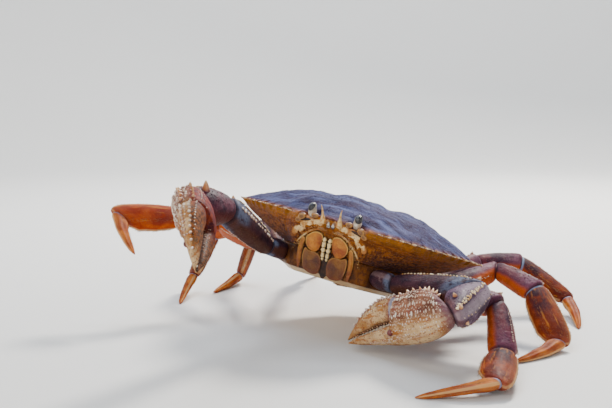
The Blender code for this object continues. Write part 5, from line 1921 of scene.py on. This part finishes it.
class Chela(Skin):
    """The palm with its fixed finger, or the moving finger, along the bent centre line."""

    whole = CHELA_LENGTH
    ridge_ends, body_ends = (4.0, 12.0), (3.0, 10.0)
    grit = (0.16, 2.4, 0.25, 7.0)
    steps = (0.6, 5.0)

    def __init__(self, at, shape, wrist_plane, ridges, outer, seed):
        self.at, self.wrist_plane = at, wrist_plane
        self.first, self.last = shape[0][0], shape[-1][0]
        self.curve, self.ridges = Curve(shape), ridges
        self.outer, self.seed = outer, seed

    def axis_at(self, place):
        return self.at(place)[1]

    def middle(self, place):
        spot, _, up, _ = self.at(place)
        top, bottom, _ = self.curve.at(place)
        return spot + up * (top + bottom) / 2.0

    def skin(self, place, turn, swell=0.0):
        spot, axis, up, side = self.at(place)
        scale = 1.0 - 0.12 * hump(place - self.first, 0.0, 1.0)
        section = [value * scale for value in self.curve.at(place)]
        swell += self.ridge(place, turn)
        offset = section_offset(up, side, section, turn * self.outer, swell)
        if place < WRIST_REACH:
            plane = self.wrist_plane
            short = (GAP / 2.0 - plane.dot(offset)) / plane.dot(axis)
            offset = offset + axis * short * (1.0 - place / WRIST_REACH) ** 2
        return spot + offset

    def local(self, place, turn):
        """Distance along, and place round the hand, for the finishes."""
        top, bottom, half = self.curve.at(place)
        angle = math.radians(turn)
        rise = (top + bottom) / 2.0 + math.cos(angle) * (top - bottom) / 2.0
        return Vector((place + self.seed * 137.0, math.sin(angle) * half, rise)) * CM

    def bead_row(self, form, rng, turn, first, last, count, finish, size, longer=1.0):
        for i in range(count):
            place = first + (last - first) * (i + rng.uniform(-0.25, 0.25)) / (count - 1)
            place = min(max(place, self.first + 1.0), self.last - 1.0)
            angle = turn + rng.uniform(-3.0, 3.0)
            length = 1.0 if longer == 1.0 else longer * rng.uniform(0.6, 1.25)
            self.bead(form, place, angle, size * rng.uniform(0.6, 1.35), finish, longer=length)

    def spine_row(self, form, rng, turn, first, last, count, radius, reach, lean, finish):
        for i in range(count):
            share = i / (count - 1)
            angle = turn + rng.uniform(-3.0, 3.0)
            bold = 0.75 + 0.5 * math.sin(math.pi * (0.15 + 0.7 * share))
            height = reach * bold * rng.uniform(0.85, 1.12)
            size = (radius * rng.uniform(0.9, 1.1), height)
            self.spine(form, mix(first, last, share), angle, size, lean, finish)

    def tooth_row(self, form, rng, turn, first, last, count, size):
        """Rounded crushing teeth along a gape."""
        for i in range(count):
            place = first + (last - first) * i / (count - 1)
            radius = size * (1.2 - 0.6 * i / count) * rng.uniform(0.8, 1.2)
            self.bead(form, place, turn, radius, TOOTH)


def add_barrel(form, middle, length, count, axes, ups, sections, pucker):
    """A soft barrel inside a joint, from one shell to the next."""
    rings = []
    for share in shares(count):
        offset = (share - 0.5) * length
        axis = mix(*axes, share).normalized()
        up = upright(mix(*ups, share), axis)
        side = axis.cross(up)
        section = [mix(a, b, share) * pucker(share) for a, b in zip(*sections)]
        ring = []
        for i in range(24):
            spot = section_offset(up, side, section, 15.0 * i)
            where = Vector((offset, spot.dot(side), spot.dot(up))) * CM
            angle = math.radians(15.0 * i)
            mark = (share, math.cos(angle), math.sin(angle))
            ring.append((middle + axis * offset + spot, where, mark))
        rings.append(ring)
    form.add_rings(rings)


def add_joint_skins(form, joints, aims, dorsals, shapes):
    """The folded skin in each joint, from the end of one shape to the start of the next."""
    ups = [upright(dorsal, aim) for dorsal, aim in zip(dorsals, aims)]
    for index in range(1, len(shapes)):
        sections = (shapes[index - 1][-1][1:], shapes[index][0][1:])
        add_barrel(
            form, joints[index], 4.4, 8, aims[index - 1:index + 1], ups[index - 1:index + 1],
            sections, lambda share: 0.78 + 0.03 * math.cos(share * 4.0 * math.pi),
        )


def make_leg(number, side):
    """A walking leg; all but the raised one are first set down on the floor."""
    rng = random.Random(f"leg {number} {side}")
    lengths, size = (LAST_LEG_LENGTHS, LAST_LEG_SIZE) if number == 5 else (LEG_LENGTHS, 1.0)
    raised = (number, side) == RAISED_LEG
    base, normal = limb_root(number - 1, side)
    joints = reach_joints(base, normal, LEG_REACH[side][number - 2], lengths)
    shapes = [
        [(place, *(value * size for value in section)) for place, *section in LEG_SHAPES[part]]
        for part in LEG_PARTS
    ]
    if not raised:
        for _ in range(6):
            aims, planes = joint_planes(normal, joints)
            dorsal = outer_side(aims, len(aims) - 1)
            lowest = lowest_of(joints[-2:], dorsal, planes[-2:], shapes[-1])
            swing_tip(joints, joints[-1].z - lowest - FOOT_SINK)
    aims, planes = joint_planes(normal, joints)
    dorsals = [outer_side(aims, index) for index in range(len(aims))]
    for index, part in enumerate(LEG_PARTS):
        segment = Segment(
            joints[index:index + 2], planes[index:index + 2], dorsals[index], shapes[index],
            LEG_RIDGES[part], -SENSE[side], number * 5.0 + index + SIDE_SEED[side],
            part == "dactyl",
        )
        form = Form()
        segment.shell(form)
        for row in LEG_ROWS.get(part, ()):
            segment.bead_row(form, rng, *row, PEARL, size=0.4 * size)
        if part in LEG_SPINES:
            count, spread = LEG_SCATTER[part]
            segment.scatter(form, rng, count, 0.1, 0.95, 0.0, spread, 0)
            place, turn, radius, height = LEG_SPINES[part]
            segment.spine(form, place, turn, (radius * size, height * size), 0.6, PEARL)
        for tuft in LEG_BRISTLES.get(part, ()):
            segment.bristles(form, rng, *tuft)
        slot = "foot" if part in ("propodus", "dactyl") else "leg"
        main = "toe" if part == "dactyl" else slot
        # The raised leg's propodus takes the brighter copy, painted sunlight.
        if part == "propodus" and raised:
            main = "sunlit foot"
        name = f"leg_{number}_{side}_{part}"
        form.piece(f"{name}_shell", (main, "pearl", "bristle"), slot, name)
    form = Form()
    add_joint_skins(form, joints, aims, dorsals, shapes)
    form.piece(f"leg_{number}_{side}_joint_skin", ("joint",), "leg")


def make_arm_segment(side, part, segment, rng):
    form = Form()
    segment.shell(form, sides=56, steps=56)
    for row in ARM_ROWS.get(part, ()):
        segment.bead_row(form, rng, *row)
    if part == "merus" and side == "right":
        segment.bead_row(form, rng, *RAISED_ARM_ROW)
    for patch in ARM_SCATTER.get(part, ()):
        segment.scatter(form, rng, *patch)
    for tuft in ARM_BRISTLES.get(part, ()):
        segment.bristles(form, rng, *tuft)
    spines = [WRIST_SPINE[side]] if part == "carpus" else []
    for place, turn, radius, height, lean in spines + ARM_SPINES.get(part, []):
        segment.spine(form, place, turn, (radius, height), lean, THORN)
    # Each wrist takes its own copy: painted light on the left, painted shade on the right.
    main = f"wrist {side}" if part == "carpus" else "arm"
    name = f"claw_{side}_{part}"
    form.piece(f"{name}_shell", (main, "pearl", "bristle", "thorn", "gold"), "arm", name)


def make_palm(side, palm, rng):
    form = Form()
    bold = SPINE_BOLD[side]
    palm.body(form, PALM_PLACES, 84)
    palm.spine_row(form, rng, -12.0, 7.0, 40.0, 9, 1.5 * bold, 3.2 * bold, 0.35, THORN)
    palm.spine_row(form, rng, 18.0, 9.0, 39.0, 6, 1.2, 1.8, 0.3, THORN)
    for turn, first, last, count, size, longer in PALM_ROWS:
        palm.bead_row(form, rng, turn, first, last, count, PEARL, size, longer)
    for _ in range(420):
        place, turn = rng.uniform(4.0, 62.0), rng.uniform(-60.0, 165.0)
        palm.bead(form, place, turn, rng.uniform(0.16, 0.36), PEARL, sides=6)
    palm.tooth_row(form, rng, 0.0, 46.0, 78.0, 13, 1.25)
    palm.bead_row(form, rng, 14.0, 46.0, 78.0, 18, THORN, 0.5)
    palm.bead(form, 42.9, 112.0, 2.1, KNOB, sides=12)
    titles = ("palm", "pearl", "tooth", "thorn", "hinge")
    form.piece(f"claw_{side}_palm_shell", titles, "claw", f"claw_{side}_palm")


def make_finger(side, finger, rng):
    form = Form()
    bold = SPINE_BOLD[side]
    finger.body(form, FINGER_PLACES, 60)
    finger.spine_row(form, rng, -6.0, 48.0, 76.0, 11, 1.5 * bold, 3.0 * bold, 0.55, PEARL)
    finger.spine_row(form, rng, 34.0, 47.5, 70.0, 11, 0.85, 1.3, 0.35, PEARL)
    for turn, first, last, count, size in FINGER_ROWS:
        finger.bead_row(form, rng, turn, first, last, count, PEARL, size)
    finger.tooth_row(form, rng, 180.0, 49.0, 78.0, 12, 1.15)
    finger.bead_row(form, rng, 160.0, 49.0, 77.0, 16, THORN, 0.45)
    titles = ("finger", "pearl", "tooth", "thorn")
    form.piece(f"claw_{side}_finger_shell", titles, "claw", f"claw_{side}_finger")


def make_claw(side):
    rng = random.Random(f"claw {side}")
    outer = -SENSE[side]
    base, normal = limb_root(0, side)
    *arm_reach, hand_reach = CLAW_REACH[side]
    joints = reach_joints(base, normal, arm_reach, CLAW_LENGTHS)
    at = chela_frame(joints[-1], hand_reach, CLAW_LEAN[side], SENSE[side])
    aims, planes = joint_planes(normal, joints)
    planes[-1] = (aims[-1] + at(0.0)[1]).normalized()
    aims.append(at(0.0)[1])
    shapes = [ARM_SHAPES[part] for part in ARM_PARTS]
    dorsals = [outer_side(aims, index) for index in range(len(ARM_PARTS))]
    for index, part in enumerate(ARM_PARTS):
        segment = Segment(
            joints[index:index + 2], planes[index:index + 2], dorsals[index], shapes[index],
            ARM_RIDGES[part], outer, 40.0 + index + SIDE_SEED[side],
        )
        make_arm_segment(side, part, segment, rng)
    seed = 60.0 + SIDE_SEED[side]
    make_palm(side, Chela(at, PALM_SHAPE, planes[-1], PALM_RIDGES, outer, seed), rng)
    finger = Chela(at, FINGER_SHAPE, planes[-1], FINGER_RIDGES, outer, seed + 1.0)
    make_finger(side, finger, rng)
    form = Form()
    add_joint_skins(form, joints, aims, dorsals + dorsals[-1:], shapes + [PALM_SHAPE])
    place, axis, up, _ = at(HINGE_PLACE)
    sections = (HINGE_SECTION, HINGE_SECTION)
    add_barrel(form, place, 3.4, 6, (axis, axis), (up, up), sections, lambda share: 1.0)
    form.piece(f"claw_{side}_joint_skin", ("joint",), "arm")


# Studio

FLOOR_Z = -0.0004
FLOOR_SIDES = 96
FLAT_RADII = (0.3, 0.7, 1.1, 1.4)
RIM_RADIUS = 0.9
LAMP_TARGET = (0.0, 0.0, 0.05)


def add_floor():
    """A pale round floor whose far rim curves up all the way round."""
    profile = [(radius, 0.0) for radius in FLAT_RADII]
    for share in shares(12)[1:]:
        angle = 0.5 * math.pi * share
        run = FLAT_RADII[-1] + RIM_RADIUS * math.sin(angle)
        profile.append((run, RIM_RADIUS * (1.0 - math.cos(angle))))
    profile += [(2.3, 1.6), (2.3, 2.4)]
    points = [(0.0, 0.0, FLOOR_Z)]
    for radius, height in profile:
        points += [(radius * c, radius * s, height + FLOOR_Z) for c, s in circle(FLOOR_SIDES)]
    faces = [(0, 1 + i, 1 + (i + 1) % FLOOR_SIDES) for i in range(FLOOR_SIDES)]
    for row in range(len(profile) - 1):
        first = 1 + row * FLOOR_SIDES
        for i in range(FLOOR_SIDES):
            j = (i + 1) % FLOOR_SIDES
            a, b = first + i, first + j
            faces.append((a, a + FLOOR_SIDES, b + FLOOR_SIDES, b))
    mesh = bpy.data.meshes.new("floor")
    mesh.from_pydata(points, [], faces)
    mesh.materials.append(floor_finish())
    mesh.shade_smooth()
    floor = bpy.data.objects.new("floor", mesh)
    bpy.context.collection.objects.link(floor)


def add_lamp(name, place, target, size, power, colour):
    lamp = bpy.data.lights.new(name, "AREA")
    lamp.shape = "DISK"
    lamp.size = size
    lamp.energy = power
    lamp.color = colour
    holder = bpy.data.objects.new(name, lamp)
    holder.location = place
    aim = Vector(target) - Vector(place)
    holder.rotation_euler = aim.to_track_quat("-Z", "Y").to_euler()
    bpy.context.collection.objects.link(holder)


def add_studio():
    world = bpy.data.worlds.new("studio")
    world.use_nodes = True
    backdrop = world.node_tree.nodes["Background"]
    backdrop.inputs["Color"].default_value = (0.74, 0.86, 1.0, 1.0)
    backdrop.inputs["Strength"].default_value = 0.34
    bpy.context.scene.world = world
    add_lamp("key", (0.5, 0.85, 1.05), LAMP_TARGET, 0.35, 36.0, (1.0, 0.95, 0.87))
    add_lamp("front", (-0.55, -1.0, 0.75), LAMP_TARGET, 0.8, 8.5, (1.0, 0.95, 0.88))
    add_lamp("top", (-0.35, 0.2, 1.2), LAMP_TARGET, 0.8, 6.5, (0.66, 0.8, 1.0))
    add_lamp("backdrop", (0.0, 0.6, 1.5), (0.0, 2.2, 0.5), 1.0, 34.0, (0.95, 0.97, 1.0))


def add_camera():
    """The photograph's viewing angle: 155 mm above the floor, looking a little down."""
    view = bpy.data.cameras.new("camera")
    view.lens = 50.0
    view.sensor_width = 36.0
    view.clip_start = 0.01
    camera = bpy.data.objects.new("camera", view)
    camera.location = (Vector((0.0, -590.0, 155.0)) + ROW_SHIFT) * MM
    camera.rotation_euler = (math.radians(90.0 - 6.84), 0.0, 0.0)
    bpy.context.collection.objects.link(camera)
    bpy.context.scene.camera = camera


def main():
    add_camera()
    add_floor()
    add_studio()
    make_shell()
    make_underside()
    make_apron()
    for side in ("left", "right"):
        make_face(side)
        make_jaw(side)
        make_eye(side)
        make_feeler(side)
        make_claw(side)
        for number in range(2, 6):
            make_leg(number, side)


main()
